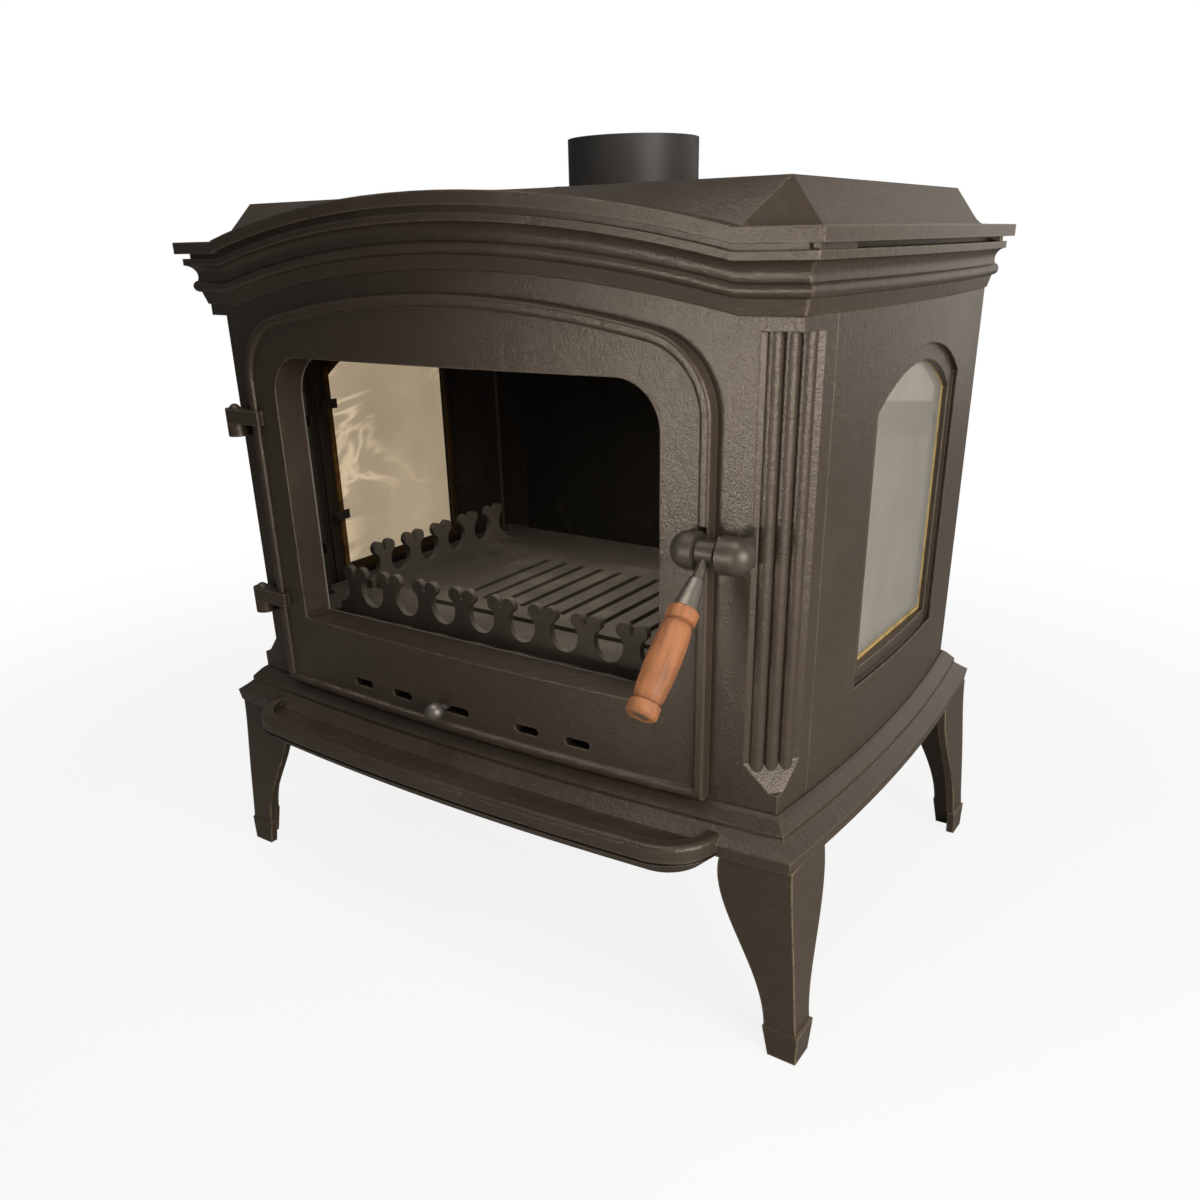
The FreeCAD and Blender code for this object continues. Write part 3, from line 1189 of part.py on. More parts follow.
def back_liner():
    """Grooved fire back standing on the hearth against the back panel."""
    back = S.body_depth - S.wall
    half = LINER_HALF
    low = HEARTH_TOP
    shape = box(-half, half, back - S.liner_thick, back, low, low + S.liner_height)
    for k in range(S.liner_grooves):
        u = (k - (S.liner_grooves - 1) / 2) * 2 * half / S.liner_grooves
        wide = S.liner_groove_width / 2
        shape = shape.cut(box(u - wide, u + wide, 0, back - S.liner_thick + S.liner_groove,
                              low + S.liner_height / 8, low + S.liner_height * 7 / 8))
    feature("back_liner", shape)


def baffle():
    """Cranked smoke baffle on the side ledges, rising to the front."""
    half = LEDGE_ROOT - S.hearth_clear
    rear = S.body_depth - S.wall - S.hearth_clear
    t = S.baffle_thick
    z = BAFFLE_Z
    crank = (S.baffle_front + rear) / 2
    points = [(0, S.baffle_front, z + S.baffle_rise), (0, crank, z), (0, rear, z), (0, rear, z + t), (0, crank, z + t),
              (0, S.baffle_front, z + S.baffle_rise + t)]
    shape = polygon(points).extrude(Vector(2 * half, 0, 0))
    shape.translate(Vector(-half, 0, 0))
    for x, y in tie_spots():
        shape = shape.cut(rod(S.tie_radius + S.hearth_clear, (x, y, 0), (x, y, PLATEAU)))
    feature("baffle_plate", shape)


def retainer(posts):
    """Log retainer: a solid band, eyes between the posts and a pair of curls on each post, in the XZ plane."""
    t = S.retainer_thick
    pitch = S.retainer_pitch
    half = posts * pitch / 2
    low = HEARTH_TOP
    neck = low + S.retainer_band + S.retainer_neck
    shape = box(-half, half, 0, t, low, neck)
    tools = []
    for k in range(posts):
        x = (k - (posts - 1) / 2) * pitch
        for side in (-1, 1):
            curl = x + side * S.curl_spread
            shape = shape.fuse(rod(S.curl_radius, (curl, 0, low + S.curl_rise), (curl, t, low + S.curl_rise)))
        tools.append(rod(S.dip_radius, (x, 0, low + S.curl_rise + S.curl_radius),
                         (x, t, low + S.curl_rise + S.curl_radius)))
        if k:
            gap = x - pitch / 2
            eye = low + S.retainer_band + S.eye_height / 2
            tall = slot_prism(0, 0, S.eye_height, S.eye_width, 0, t)
            tall.rotate(Vector(0, 0, 0), Vector(0, 1, 0), 90)
            tall.translate(Vector(gap, 0, eye))
            tools.append(tall)
            tools.append(box(gap - S.slit / 2, gap + S.slit / 2, 0, t, eye, low + S.curl_rise + S.curl_radius))
    for tool in tools:
        shape = shape.cut(tool)
    for side in (-1, 1):
        foot = side * (half - S.retainer_foot)
        shape = shape.fuse(box(foot - S.retainer_foot / 2, foot + S.retainer_foot / 2, 0, t + S.retainer_foot, low,
                               low + t))
    return shape


def retainers():
    front = retainer(S.retainer_posts)
    front.translate(Vector(0, S.retainer_y, 0))
    feature("front_log_retainer", front)
    side = retainer(S.side_retainer_posts)
    side.rotate(Vector(0, 0, 0), Vector(0, 0, 1), 90)
    side.translate(Vector(SIDE_RETAINER_X, WINDOW_CENTRE, 0))
    feature("right_log_retainer", side)
    feature("left_log_retainer", side.mirror(Vector(0, 0, 0), Vector(1, 0, 0)))


def check_and_write():
    """Stop on any piece that did not come out sound, then write one file for each."""
    DOC.recompute()
    for label, obj in NODES.items():
        if "Invalid" in obj.State or "Error" in obj.State or obj.Shape.isNull() or not obj.Shape.isValid():
            raise RuntimeError("bad piece: " + label)
    os.makedirs("parts", exist_ok=True)
    for label, obj in NODES.items():
        obj.Shape.exportStep("parts/%s.step" % label)


def main():
    fill_sheet()
    base_plate()
    legs()
    leg_bolts()
    front_panel()
    side_panels()
    back_panel()
    top_plate()
    flue_collar()
    flue_bolts()
    tie_rods()
    door_frame()
    hinge_pins()
    door_glazing()
    door_clips()
    air_slide()
    latch()
    handle()
    side_glazing()
    hearth()
    grate()
    ash_pan()
    back_liner()
    baffle()
    retainers()
    check_and_write()


main()
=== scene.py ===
"""Looks of the cast iron wood stove: finishes, log retainers, reeds, lid bedding, bolts, rope and studio."""
import math

import bmesh
import bpy
from bpy.props import FloatProperty, FloatVectorProperty, IntProperty, PointerProperty
from mathutils import Matrix, Vector
from mathutils.bvhtree import BVHTree


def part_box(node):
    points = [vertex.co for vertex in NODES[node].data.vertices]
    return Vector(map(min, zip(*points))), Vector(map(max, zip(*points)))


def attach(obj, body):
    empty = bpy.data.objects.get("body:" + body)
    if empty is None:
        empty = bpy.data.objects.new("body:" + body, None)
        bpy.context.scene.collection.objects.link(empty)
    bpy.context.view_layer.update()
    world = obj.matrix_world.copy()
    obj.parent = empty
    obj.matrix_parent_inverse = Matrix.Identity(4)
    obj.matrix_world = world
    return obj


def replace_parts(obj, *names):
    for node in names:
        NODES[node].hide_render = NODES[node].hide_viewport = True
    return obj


bl_info = {
    "name": "Cast iron wood stove",
    "version": (1, 0, 0),
    "blender": (4, 5, 0),
    "location": "View3D > Sidebar > Stove",
    "description": "Dresses the stove and builds log retainers, reeds, lid bedding, bolts, rope and studio",
    "category": "Object",
}

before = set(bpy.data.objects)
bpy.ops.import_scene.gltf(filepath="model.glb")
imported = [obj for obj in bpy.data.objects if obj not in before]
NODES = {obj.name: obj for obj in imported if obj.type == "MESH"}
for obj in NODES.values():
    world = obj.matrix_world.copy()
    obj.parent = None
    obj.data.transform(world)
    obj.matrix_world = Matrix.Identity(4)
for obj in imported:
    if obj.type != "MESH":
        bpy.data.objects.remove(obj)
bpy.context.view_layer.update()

# Sizes in metres that fit the pieces made here to the solids
FRONT_LINE = -0.1899
HALF_WIDTH = 0.366
CORNER_INSET = 0.016
REED_FOOT, REED_TOP = 0.284, 0.752
BOLT_HEAD, BOLT_HEAD_THICK, BOLT_SHANK = 0.007, 0.005, 0.004
ROPE_RADIUS, ROPE_LAY, ROPE_POINTS = 0.0031, 0.02, 240
DOOR_MIDDLE = Vector((0, 0, 0.5))
TAPE_HEIGHT, TAPE_RISE, TAPE_END = 0.0035, 0.008, 0.011
# A bed's start and end along its wall, and the span in which the cornice's top is looked for
FRONT_BED = (-0.372, 0.372, (0.18, 0.235))
SIDE_BED = (-0.198, 0.31, (0.345, 0.4))
# The lean of the lever, along which the grip's grain runs
LEVER_TURN = (math.radians(-45), 0, 0)


# Shader maths

class Value:
    """A shader value that takes part in Python sums; each sum adds one Math node."""

    def __init__(self, nodes, link):
        self.nodes = nodes
        self.link = link

    def _math(self, operation, *terms):
        inputs = dict(enumerate(terms))
        return self.nodes.node("ShaderNodeMath", {"operation": operation}, inputs)

    def __add__(self, other):
        return self._math("ADD", self, other)

    __radd__ = __add__

    def __sub__(self, other):
        return self._math("SUBTRACT", self, other)

    def __rsub__(self, other):
        return self._math("SUBTRACT", other, self)

    def __mul__(self, other):
        return self._math("MULTIPLY", self, other)

    __rmul__ = __mul__

    def at_most(self, other):
        return self._math("MINIMUM", self, other)

    def at_least(self, other):
        return self._math("MAXIMUM", self, other)


class Nodes:
    """The shader tree of a material or a world, emptied down to its output."""

    def __init__(self, owner, output):
        owner.use_nodes = True
        self.tree = owner.node_tree
        self.tree.nodes.clear()
        self.output = self.tree.nodes.new(output)

    def show(self, shader):
        self.tree.links.new(shader.link, self.output.inputs["Surface"])

    def node(self, kind, settings=None, inputs=None, out=0):
        """Any node: its settings first, then the values or links of its sockets."""
        made = self.tree.nodes.new(kind)
        for name, setting in (settings or {}).items():
            setattr(made, name, setting)
        for key, value in (inputs or {}).items():
            self._feed(made.inputs[key], value)
        return Value(self, made.outputs[out])

    def _feed(self, socket, value):
        if isinstance(value, Value):
            self.tree.links.new(value.link, socket)
        elif socket.type == "RGBA" and len(value) == 3:
            socket.default_value = (*value, 1)
        else:
            socket.default_value = value


class Finish(Nodes):
    """One node material built round a Principled shader."""

    def __init__(self, name):
        self.material = bpy.data.materials.new(name)
        super().__init__(self.material, "ShaderNodeOutputMaterial")
        self.shader = self.tree.nodes.new("ShaderNodeBsdfPrincipled")
        self.show(Value(self, self.shader.outputs[0]))

    def set(self, **sockets):
        """Feed the Principled shader; underscores in a name stand for spaces."""
        for name, value in sockets.items():
            self._feed(self.shader.inputs[name.replace("_", " ")], value)
        return self

    def place(self, turn=(0, 0, 0), stretch=(1, 1, 1)):
        """Object coordinates for a pattern along its own turned axes, drawn out by `stretch`."""
        coords = self.node("ShaderNodeTexCoord", out="Object")
        return self.node("ShaderNodeMapping", {"vector_type": "TEXTURE"},
                         {"Vector": coords, "Rotation": turn, "Scale": stretch})

    def noise(self, vector, scale, detail=3.0, rough=0.55, warp=0.0):
        return self.node("ShaderNodeTexNoise", {"noise_dimensions": "3D"},
                         {"Vector": vector, "Scale": scale, "Detail": detail, "Roughness": rough,
                          "Distortion": warp})

    def ramp(self, value, low, high):
        """0 below `low`, 1 above `high`, smooth between."""
        return self.node("ShaderNodeMapRange", {"interpolation_type": "SMOOTHSTEP"},
                         {"Value": value, "From Min": low, "From Max": high, "To Min": 0.0, "To Max": 1.0})

    def mix(self, first, second, share):
        return self.node("ShaderNodeMix", {"data_type": "RGBA"}, {0: share, 6: first, 7: second}, out=2)

    def bump(self, height, strength, distance, normal=None):
        inputs = {"Height": height, "Strength": strength, "Distance": distance}
        if normal is not None:
            inputs["Normal"] = normal
        return self.node("ShaderNodeBump", {}, inputs)

    def groove(self, reach):
        """0 on open faces, rising towards 1 in a groove of about that depth: occlusion, the mask of painted
        shade.
        """
        return 1 - self.node("ShaderNodeAmbientOcclusion", {"samples": 6, "only_local": True},
                             {"Distance": reach}, out="AO")

    def edges(self, radius):
        """Where an edge turns away within `radius`: 0 on flats, rising towards 1 at a sharp corner."""
        soft = self.node("ShaderNodeBevel", {"samples": 6}, {"Radius": radius})
        hard = self.node("ShaderNodeNewGeometry", out="Normal")
        along = self.node("ShaderNodeVectorMath", {"operation": "DOT_PRODUCT"}, {0: soft, 1: hard},
                          out="Value")
        return 1 - along

    def rounded(self, radius):
        """The normal, turned smoothly over edges."""
        return self.node("ShaderNodeBevel", {"samples": 6}, {"Radius": radius})

    def blend(self, under, share):
        """Show another shader where `share` is 0 and the Principled one where it is 1."""
        over = Value(self, self.shader.outputs[0])
        self.show(self.node("ShaderNodeMixShader", {}, {0: share, 1: under, 2: over}))


# Sizes and colours a user would change

class StoveFinishes(bpy.types.PropertyGroup):
    """Colours and texture sizes of the stove's surfaces."""

    paint: FloatVectorProperty(
        name="Stove paint", description="Satin paint on the castings", subtype="COLOR",
        default=(0.046, 0.034, 0.0255), min=0, max=1)
    # Pale edge colour: worn paint, and also a painted highlight along the edges.
    worn_and_highlit_paint: FloatVectorProperty(
        name="Worn paint", description="Paint rubbed thin along edges", subtype="COLOR",
        default=(0.27, 0.22, 0.165), min=0, max=1)
    # Tan edge colour of the legs: scuffs, and also a painted highlight along the corners.
    worn_and_highlit_legs: FloatVectorProperty(
        name="Worn legs", description="Tan scuffs along the legs' corners", subtype="COLOR",
        default=(0.38, 0.3, 0.19), min=0, max=1)
    dust: FloatVectorProperty(
        name="Dust", description="Pale casting dust that settles on the paint", subtype="COLOR",
        default=(0.1, 0.081, 0.064), min=0, max=1)
    # Painted shade: the near-black colour laid into the grooves of the mouldings.
    groove_shade: FloatVectorProperty(
        name="Groove shade", description="Dark dirt in the grooves of the mouldings", subtype="COLOR",
        default=(0.006, 0.004, 0.003), min=0, max=1)
    # How far the painted shade reaches out of a groove.
    groove_shade_reach: FloatProperty(
        name="Groove reach", description="How far out of a groove its dirt reaches", default=0.014,
        min=0.002, max=0.05, unit="LENGTH")
    collar: FloatVectorProperty(
        name="Collar", description="Flue collar", subtype="COLOR", default=(0.03, 0.029, 0.029), min=0,
        max=1)
    fire_iron: FloatVectorProperty(
        name="Fire iron", description="Unpainted iron round the fire", subtype="COLOR",
        default=(0.11, 0.098, 0.083), min=0, max=1)
    ash: FloatVectorProperty(
        name="Ash", description="Grey bloom in the hollows of the fire iron", subtype="COLOR",
        default=(0.25, 0.225, 0.188), min=0, max=1)
    # Painted light: a lighter copy of the fire iron for the log retainers, standing in for light that barely
    # reaches them.
    fence: FloatVectorProperty(
        name="Retainer iron", description="Cleaner iron of the log retainers", subtype="COLOR",
        default=(0.16, 0.144, 0.125), min=0, max=1)
    soot: FloatVectorProperty(
        name="Soot", description="Liner and baffle behind the fire", subtype="COLOR",
        default=(0.012, 0.01, 0.008), min=0, max=1)
    dark_steel: FloatVectorProperty(
        name="Dark steel", description="Bolts, clips, register, ash pan and latch", subtype="COLOR",
        default=(0.085, 0.074, 0.061), min=0, max=1)
    bright_steel: FloatVectorProperty(
        name="Bright steel", description="Ferrule, knob and pins", subtype="COLOR",
        default=(0.24, 0.225, 0.205), min=0, max=1)
    wood: FloatVectorProperty(
        name="Wood", description="Grip, pale grain", subtype="COLOR", default=(0.42, 0.17, 0.071), min=0,
        max=1)
    wood_dark: FloatVectorProperty(
        name="Dark grain", description="Grip, dark grain", subtype="COLOR", default=(0.13, 0.046, 0.019),
        min=0, max=1)
    # Pale film colour: ash on the panes, and on the right pane also a painted reflection.
    film: FloatVectorProperty(
        name="Glass film", description="Thin ash film on the panes", subtype="COLOR",
        default=(0.46, 0.475, 0.47), min=0, max=1)
    smoke: FloatVectorProperty(
        name="Smoke film", description="Brown film burnt on the left pane", subtype="COLOR",
        default=(0.1, 0.07, 0.045), min=0, max=1)
    door_tint: FloatVectorProperty(
        name="Door glass", description="Light let through each face of the door's pane", subtype="COLOR",
        default=(0.95, 0.94, 0.92), min=0, max=1)
    side_tint: FloatVectorProperty(
        name="Side glass", description="Light let through each face of a side pane", subtype="COLOR",
        default=(0.88, 0.79, 0.66), min=0, max=1)
    rope: FloatVectorProperty(
        name="Seal rope", description="Glass-fibre rope and tape", subtype="COLOR",
        default=(0.16, 0.155, 0.145), min=0, max=1)
    tape: FloatVectorProperty(
        name="Gasket tape", description="Golden tape round the side panes", subtype="COLOR",
        default=(0.5, 0.35, 0.13), min=0, max=1)
    grain: FloatProperty(
        name="Casting grain", description="Grains of the sand mould per metre", default=520.0, min=50,
        max=3000)
    # Width of the pale edges, worn paint with a painted highlight; it also rounds the edges' normals.
    edge_wear: FloatProperty(
        name="Edge wear", description="Width of the rubbed edges", default=0.0042, min=0.0005, max=0.02,
        unit="LENGTH")


class StoveShapes(bpy.types.PropertyGroup):
    """Sizes of the pieces modelled here."""

    post_pitch: FloatProperty(
        name="Post pitch", description="Step between the log retainers' posts", default=0.058, min=0.03,
        max=0.2, unit="LENGTH")
    front_posts: IntProperty(
        name="Front posts", description="Posts of the front log retainer", default=9, min=1, max=20)
    side_posts: IntProperty(
        name="Side posts", description="Posts of each side log retainer", default=5, min=1, max=20)
    band: FloatProperty(
        name="Band", description="Height of the log retainers' solid foot", default=0.011, min=0.004,
        max=0.03, unit="LENGTH")
    eye: FloatVectorProperty(
        name="Eye", description="Half width and half height of the openings between the posts", size=2,
        default=(0.0185, 0.0205), min=0.005, max=0.05)
    curl: FloatProperty(
        name="Curl", description="Radius of the round ends on each post", default=0.0088, min=0.003,
        max=0.02, unit="LENGTH")
    curl_spread: FloatProperty(
        name="Curl spread", description="Curl's distance from its post's middle", default=0.0105,
        min=0.003, max=0.02, unit="LENGTH")
    plate: FloatProperty(
        name="Plate", description="Thickness of the log retainers", default=0.008, min=0.003, max=0.02,
        unit="LENGTH")
    reed: FloatProperty(
        name="Reed", description="Half width of a reed on the front corners", default=0.0072, min=0.003,
        max=0.02, unit="LENGTH")
    reeds: IntProperty(
        name="Reeds", description="Reeds on each front corner", default=3, min=1, max=7)
    bedding_inset: FloatProperty(
        name="Bedding inset", description="How far the lid's bedding lies behind the cornice",
        default=0.004, min=0.0, max=0.02, unit="LENGTH")


class StoveStudio(bpy.types.PropertyGroup):
    """Camera and lamps."""

    camera_spot: FloatVectorProperty(
        name="Camera", description="Camera position", subtype="TRANSLATION",
        default=(0.7147, -0.8044 + FRONT_LINE, 0.7698), unit="LENGTH")
    heading: FloatProperty(
        name="Heading", description="Turn of the camera to the left of straight ahead",
        default=math.radians(34.63), subtype="ANGLE")
    pitch: FloatProperty(
        name="Pitch", description="Tilt of the camera below level", default=math.radians(23.69),
        subtype="ANGLE")
    roll: FloatProperty(
        name="Roll", description="Lean of the camera", default=math.radians(-1.27), subtype="ANGLE")
    focal_share: FloatProperty(
        name="Focal share", description="Focal length over the image's width", default=1036.93 / 1200,
        min=0.1, max=10)
    shift: FloatVectorProperty(
        name="Shift", description="Lens shift as a share of the image", size=2, default=(0.0036, 0.0795))
    floor: FloatVectorProperty(
        name="Floor", description="Studio floor", subtype="COLOR", default=(0.9, 0.9, 0.9), min=0, max=1)
    bounce: FloatVectorProperty(
        name="Bounce", description="Floor as the stove sees it", subtype="COLOR",
        default=(0.47, 0.45, 0.42), min=0, max=1)
    ambient: FloatProperty(
        name="Ambient", description="Level of the surrounding light", default=0.1, min=0, max=5)
    key: FloatProperty(
        name="Key lamp", description="Near lamp over the right front corner", default=1.0, min=0,
        unit="POWER")
    window: FloatProperty(
        name="Window", description="Wide light to the right of the stove", default=48.0, min=0,
        unit="POWER")
    glow: FloatProperty(
        name="Glow", description="Large pale wall behind and to the right", default=20.0, min=0,
        unit="POWER")
    warmth: FloatVectorProperty(
        name="Warmth", description="Colour of the lamps", subtype="COLOR", default=(1.0, 0.93, 0.84),
        min=0, max=1)
    glint: FloatProperty(
        name="Glint", description="Narrow lamp mirrored in the right of the front", default=0.45, min=0,
        unit="POWER")
    ceiling: FloatProperty(
        name="Ceiling", description="Soft box over the front", default=20.0, min=0, unit="POWER")
    hearth: FloatProperty(
        name="Hearth", description="Faint fill under the baffle", default=0.6, min=0, unit="POWER")


def finishes():
    return bpy.context.scene.stove_finishes


def shapes():
    return bpy.context.scene.stove_shapes


def studio():
    return bpy.context.scene.stove_studio


def dress(material, *names):
    for name in names:
        NODES[name].data.materials.clear()
        NODES[name].data.materials.append(material)


# Shapes

def solid(name, spots, faces):
    """A mesh from its corners and faces, every face turned outwards."""
    mesh = bpy.data.meshes.new(name)
    mesh.from_pydata(spots, [], faces)
    shell = bmesh.new()
    shell.from_mesh(mesh)
    bmesh.ops.recalc_face_normals(shell, faces=shell.faces)
    shell.to_mesh(mesh)
    shell.free()
    return mesh


def prism(name, outline, depth):
    """Outline in the XZ plane, drawn back along +Y."""
    count = len(outline)
    spots = [(x, 0, z) for x, z in outline] + [(x, depth, z) for x, z in outline]
    sides = [(k, (k + 1) % count, count + (k + 1) % count, count + k) for k in range(count)]
    return solid(name, spots, [tuple(range(count)), tuple(range(count, 2 * count)), *sides])


class Grower:
    """A geometry node tree with named sizes, run on a mesh to give one plain mesh."""

    KINDS = {int: "NodeSocketInt", float: "NodeSocketFloat", Vector: "NodeSocketVector"}

    def __init__(self, name, material, **sizes):
        self.tree = bpy.data.node_groups.new(name, "GeometryNodeTree")
        self.values = {}
        self.interface("Geometry", "OUTPUT", "NodeSocketGeometry")
        self.interface("Geometry", "INPUT", "NodeSocketGeometry")
        for size, value in sizes.items():
            self.values[self.interface(size, "INPUT", self.KINDS[type(value)])] = value
        self.values[self.interface("Material", "INPUT", "NodeSocketMaterial")] = material
        self.sizes = self.tree.nodes.new("NodeGroupInput").outputs

    def interface(self, name, way, kind):
        return self.tree.interface.new_socket(name, in_out=way, socket_type=kind).identifier

    def node(self, kind, inputs, settings=None, out=0):
        """Any node: its settings first, then the values or links of its sockets."""
        made = self.tree.nodes.new(kind)
        for name, setting in (settings or {}).items():
            setattr(made, name, setting)
        for key, value in inputs.items():
            if isinstance(value, bpy.types.NodeSocket):
                self.tree.links.new(value, made.inputs[key])
            else:
                made.inputs[key].default_value = value
        return made.outputs[out]

    def copies(self, points):
        """The mesh set on each point."""
        return self.node("GeometryNodeInstanceOnPoints",
                         {"Points": points, "Instance": self.sizes["Geometry"]})

    def grow(self, name, shape, base):
        """Close the tree on `shape`, run it on the mesh `base` and return the result."""
        joined = self.node("GeometryNodeRealizeInstances", {"Geometry": shape})
        coated = self.node("GeometryNodeSetMaterial",
                           {"Geometry": joined, "Material": self.sizes["Material"]})
        self.tree.links.new(coated, self.tree.nodes.new("NodeGroupOutput").inputs[0])
        holder = bpy.data.objects.new(name, base)
        bpy.context.scene.collection.objects.link(holder)
        modifier = holder.modifiers.new(name, "NODES")
        modifier.node_group = self.tree
        for key, value in self.values.items():
            modifier[key] = value
        graph = bpy.context.evaluated_depsgraph_get()
        mesh = bpy.data.meshes.new_from_object(holder.evaluated_get(graph))
        bpy.data.objects.remove(holder)
        mesh.name = name
        while len(mesh.materials) > 1:
            mesh.materials.pop(index=0)
        return mesh


def row(name, cell, count, step, material):
    """`count` copies of `cell` set along X about the origin."""
    grower = Grower("row", material, Count=count, Start=Vector((-step * (count - 1) / 2, 0, 0)),
                    Step=Vector((step, 0, 0)))
    sizes = grower.sizes
    line = grower.node("GeometryNodeMeshLine", {"Count": sizes["Count"], "Start Location": sizes["Start"],
                                                "Offset": sizes["Step"]})
    return grower.grow(name, grower.copies(line), cell)


def four(name, cell, across, along, material):
    """Copies of `cell` at the corners of a rectangle about the origin."""
    grower = Grower("four", material, Across=across, Along=along)
    sizes = grower.sizes
    corners = grower.node("GeometryNodeMeshGrid", {"Size X": sizes["Across"], "Size Y": sizes["Along"],
                                                   "Vertices X": 2, "Vertices Y": 2})
    return grower.grow(name, grower.copies(corners), cell)


def twisted(name, path, radius, lay, material):
    """A three-strand rope along a closed path of points; `lay` is the length of one full turn."""
    count = len(path)
    loop = bpy.data.meshes.new(name + "_path")
    loop.from_pydata(path, [(k, (k + 1) % count) for k in range(count)], [])
    length = sum((Vector(path[k]) - Vector(path[k - 1])).length for k in range(count))
    strands, sides, steps = 3, 18, 12
    turns = round(length / lay)
    stations = turns * steps
    grower = Grower("rope", material, Radius=radius, Stations=stations, Twist=math.tau * turns / stations,
                    Lobe=math.tau * strands / sides, Depth=0.14)
    curve = grower.node("GeometryNodeMeshToCurve", {"Mesh": grower.sizes["Geometry"]})
    curve = grower.node("GeometryNodeResampleCurve", {"Curve": curve, "Count": grower.sizes["Stations"]})
    index = grower.node("GeometryNodeInputIndex", {})
    turn = grower.node("ShaderNodeMath", {0: index, 1: grower.sizes["Twist"]}, {"operation": "MULTIPLY"})
    curve = grower.node("GeometryNodeSetCurveTilt", {"Curve": curve, "Tilt": turn})
    ring = grower.node("GeometryNodeCurvePrimitiveCircle",
                       {"Resolution": sides, "Radius": grower.sizes["Radius"]})
    swing = grower.node("ShaderNodeMath", {0: index, 1: grower.sizes["Lobe"]}, {"operation": "MULTIPLY"})
    wave = grower.node("ShaderNodeMath", {0: swing}, {"operation": "SINE"})
    swell = grower.node("ShaderNodeMath", {0: wave, 1: grower.sizes["Depth"]}, {"operation": "MULTIPLY"})
    spot = grower.node("GeometryNodeInputPosition", {})
    push = grower.node("ShaderNodeVectorMath", {0: spot, "Scale": swell}, {"operation": "SCALE"})
    ring = grower.node("GeometryNodeSetPosition", {"Geometry": ring, "Offset": push})
    rope = grower.node("GeometryNodeCurveToMesh", {"Curve": curve, "Profile Curve": ring})
    return grower.grow(name, rope, loop)


def hex_bolt(name, face, seat, tip):
    """A bolt on the Z axis: six-sided head from `face` to `seat`, bevelled, and a round shank to `tip`."""
    corners, sides = 6, 20
    bevel, bevel_deep, point, point_deep = 0.86, 0.2, 0.8, 0.04
    spots, faces = [], []
    head = ((face, BOLT_HEAD * bevel), (face + (seat - face) * bevel_deep, BOLT_HEAD), (seat, BOLT_HEAD))
    shank = ((seat, BOLT_SHANK), (tip + (seat - tip) * point_deep, BOLT_SHANK), (tip, BOLT_SHANK * point))
    rings = ((*head, corners), (*shank, sides))
    for *levels, count in rings:
        first = len(spots)
        for z, radius in levels:
            spots += [(radius * math.cos(math.tau * k / count), radius * math.sin(math.tau * k / count), z)
                      for k in range(count)]
        for level in range(len(levels) - 1):
            low = first + level * count
            for k in range(count):
                far = (k + 1) % count
                faces.append((low + k, low + far, low + count + far, low + count + k))
        faces += [tuple(range(first, first + count)), tuple(range(len(spots) - count, len(spots)))]
    return solid(name, spots, faces)


def piece(name, mesh, body):
    """A finished mesh as a piece of the stove."""
    made = bpy.data.objects.new(name, mesh)
    bpy.context.scene.collection.objects.link(made)
    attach(made, body)
    return made


def post_outline():
    """One post of a log retainer with half an eye on each side and two curls on top."""
    size = shapes()
    half, rise = size.post_pitch / 2, 0.05
    arc, curl_end, curl_steps = 6, 195, 24
    wide, tall = size.eye
    middle = size.band + tall
    right = [(half, 0)]
    for turn in range(270, 0, -arc):
        x = half + wide * math.cos(math.radians(turn))
        z = middle + tall * math.sin(math.radians(turn))
        if math.hypot(x - size.curl_spread, z - rise) < size.curl:
            break
        right.append((x, z))
    first = math.degrees(math.atan2(right[-1][1] - rise, right[-1][0] - size.curl_spread))
    for step in range(1, curl_steps + 1):
        angle = math.radians(first + (curl_end - first) * step / curl_steps)
        right.append((size.curl_spread + size.curl * math.cos(angle), rise + size.curl * math.sin(angle)))
    left = [(-x, z) for x, z in reversed(right)]
    return right + [(0, rise - size.curl * 0.5)] + left


def retainer(name, posts, material):
    """A log retainer along X on the floor of the frame, with a foot behind each end."""
    size = shapes()
    plate = row(name, prism(name + "_post", post_outline(), size.plate), posts, size.post_pitch, material)
    shell = bmesh.new()
    shell.from_mesh(plate)
    foot = 0.014
    for side in (-1, 1):
        spot = (side * (posts * size.post_pitch / 2 - foot), size.plate + foot / 2, size.plate / 2)
        block = Matrix.Translation(spot) @ Matrix.Diagonal((foot, foot, size.plate, 1))
        bmesh.ops.create_cube(shell, size=1, matrix=block)
    shell.to_mesh(plate)
    shell.free()
    return plate


def reed_outline():
    """Flat-backed half round, as points of its cross-section."""
    wide = shapes().reed
    proud = wide * 0.75
    turns = [math.radians(degrees) for degrees in range(0, 181, 15)]
    return [(wide * math.cos(turn), -proud * math.sin(turn)) for turn in turns]


def reed(name, low, high):
    """One upright reed with rounded ends, its flat back on the XZ plane."""
    ring = reed_outline()
    end = shapes().reed
    tip = 0.02
    turns = [math.radians(degrees) for degrees in range(0, 91, 15)]
    levels = [(low + end * (1 - math.cos(turn)), max(tip, math.sin(turn))) for turn in turns]
    levels += [(low + high - z, share) for z, share in reversed(levels)]
    spots = [(x * share, y * share, z) for z, share in levels for x, y in ring]
    count = len(ring)
    faces = [tuple(range(count)), tuple(range(len(spots) - count, len(spots)))]
    for level in range(len(levels) - 1):
        for k in range(count):
            a, b = level * count + k, level * count + (k + 1) % count
            faces.append((a, b, b + count, a + count))
    return solid(name, spots, faces)


def surface(node):
    """The node's faces, for measuring along a line."""
    shape = NODES[node]
    spots = [shape.matrix_world @ v.co for v in shape.data.vertices]
    return BVHTree.FromPolygons(spots, [tuple(face.vertices) for face in shape.data.polygons])


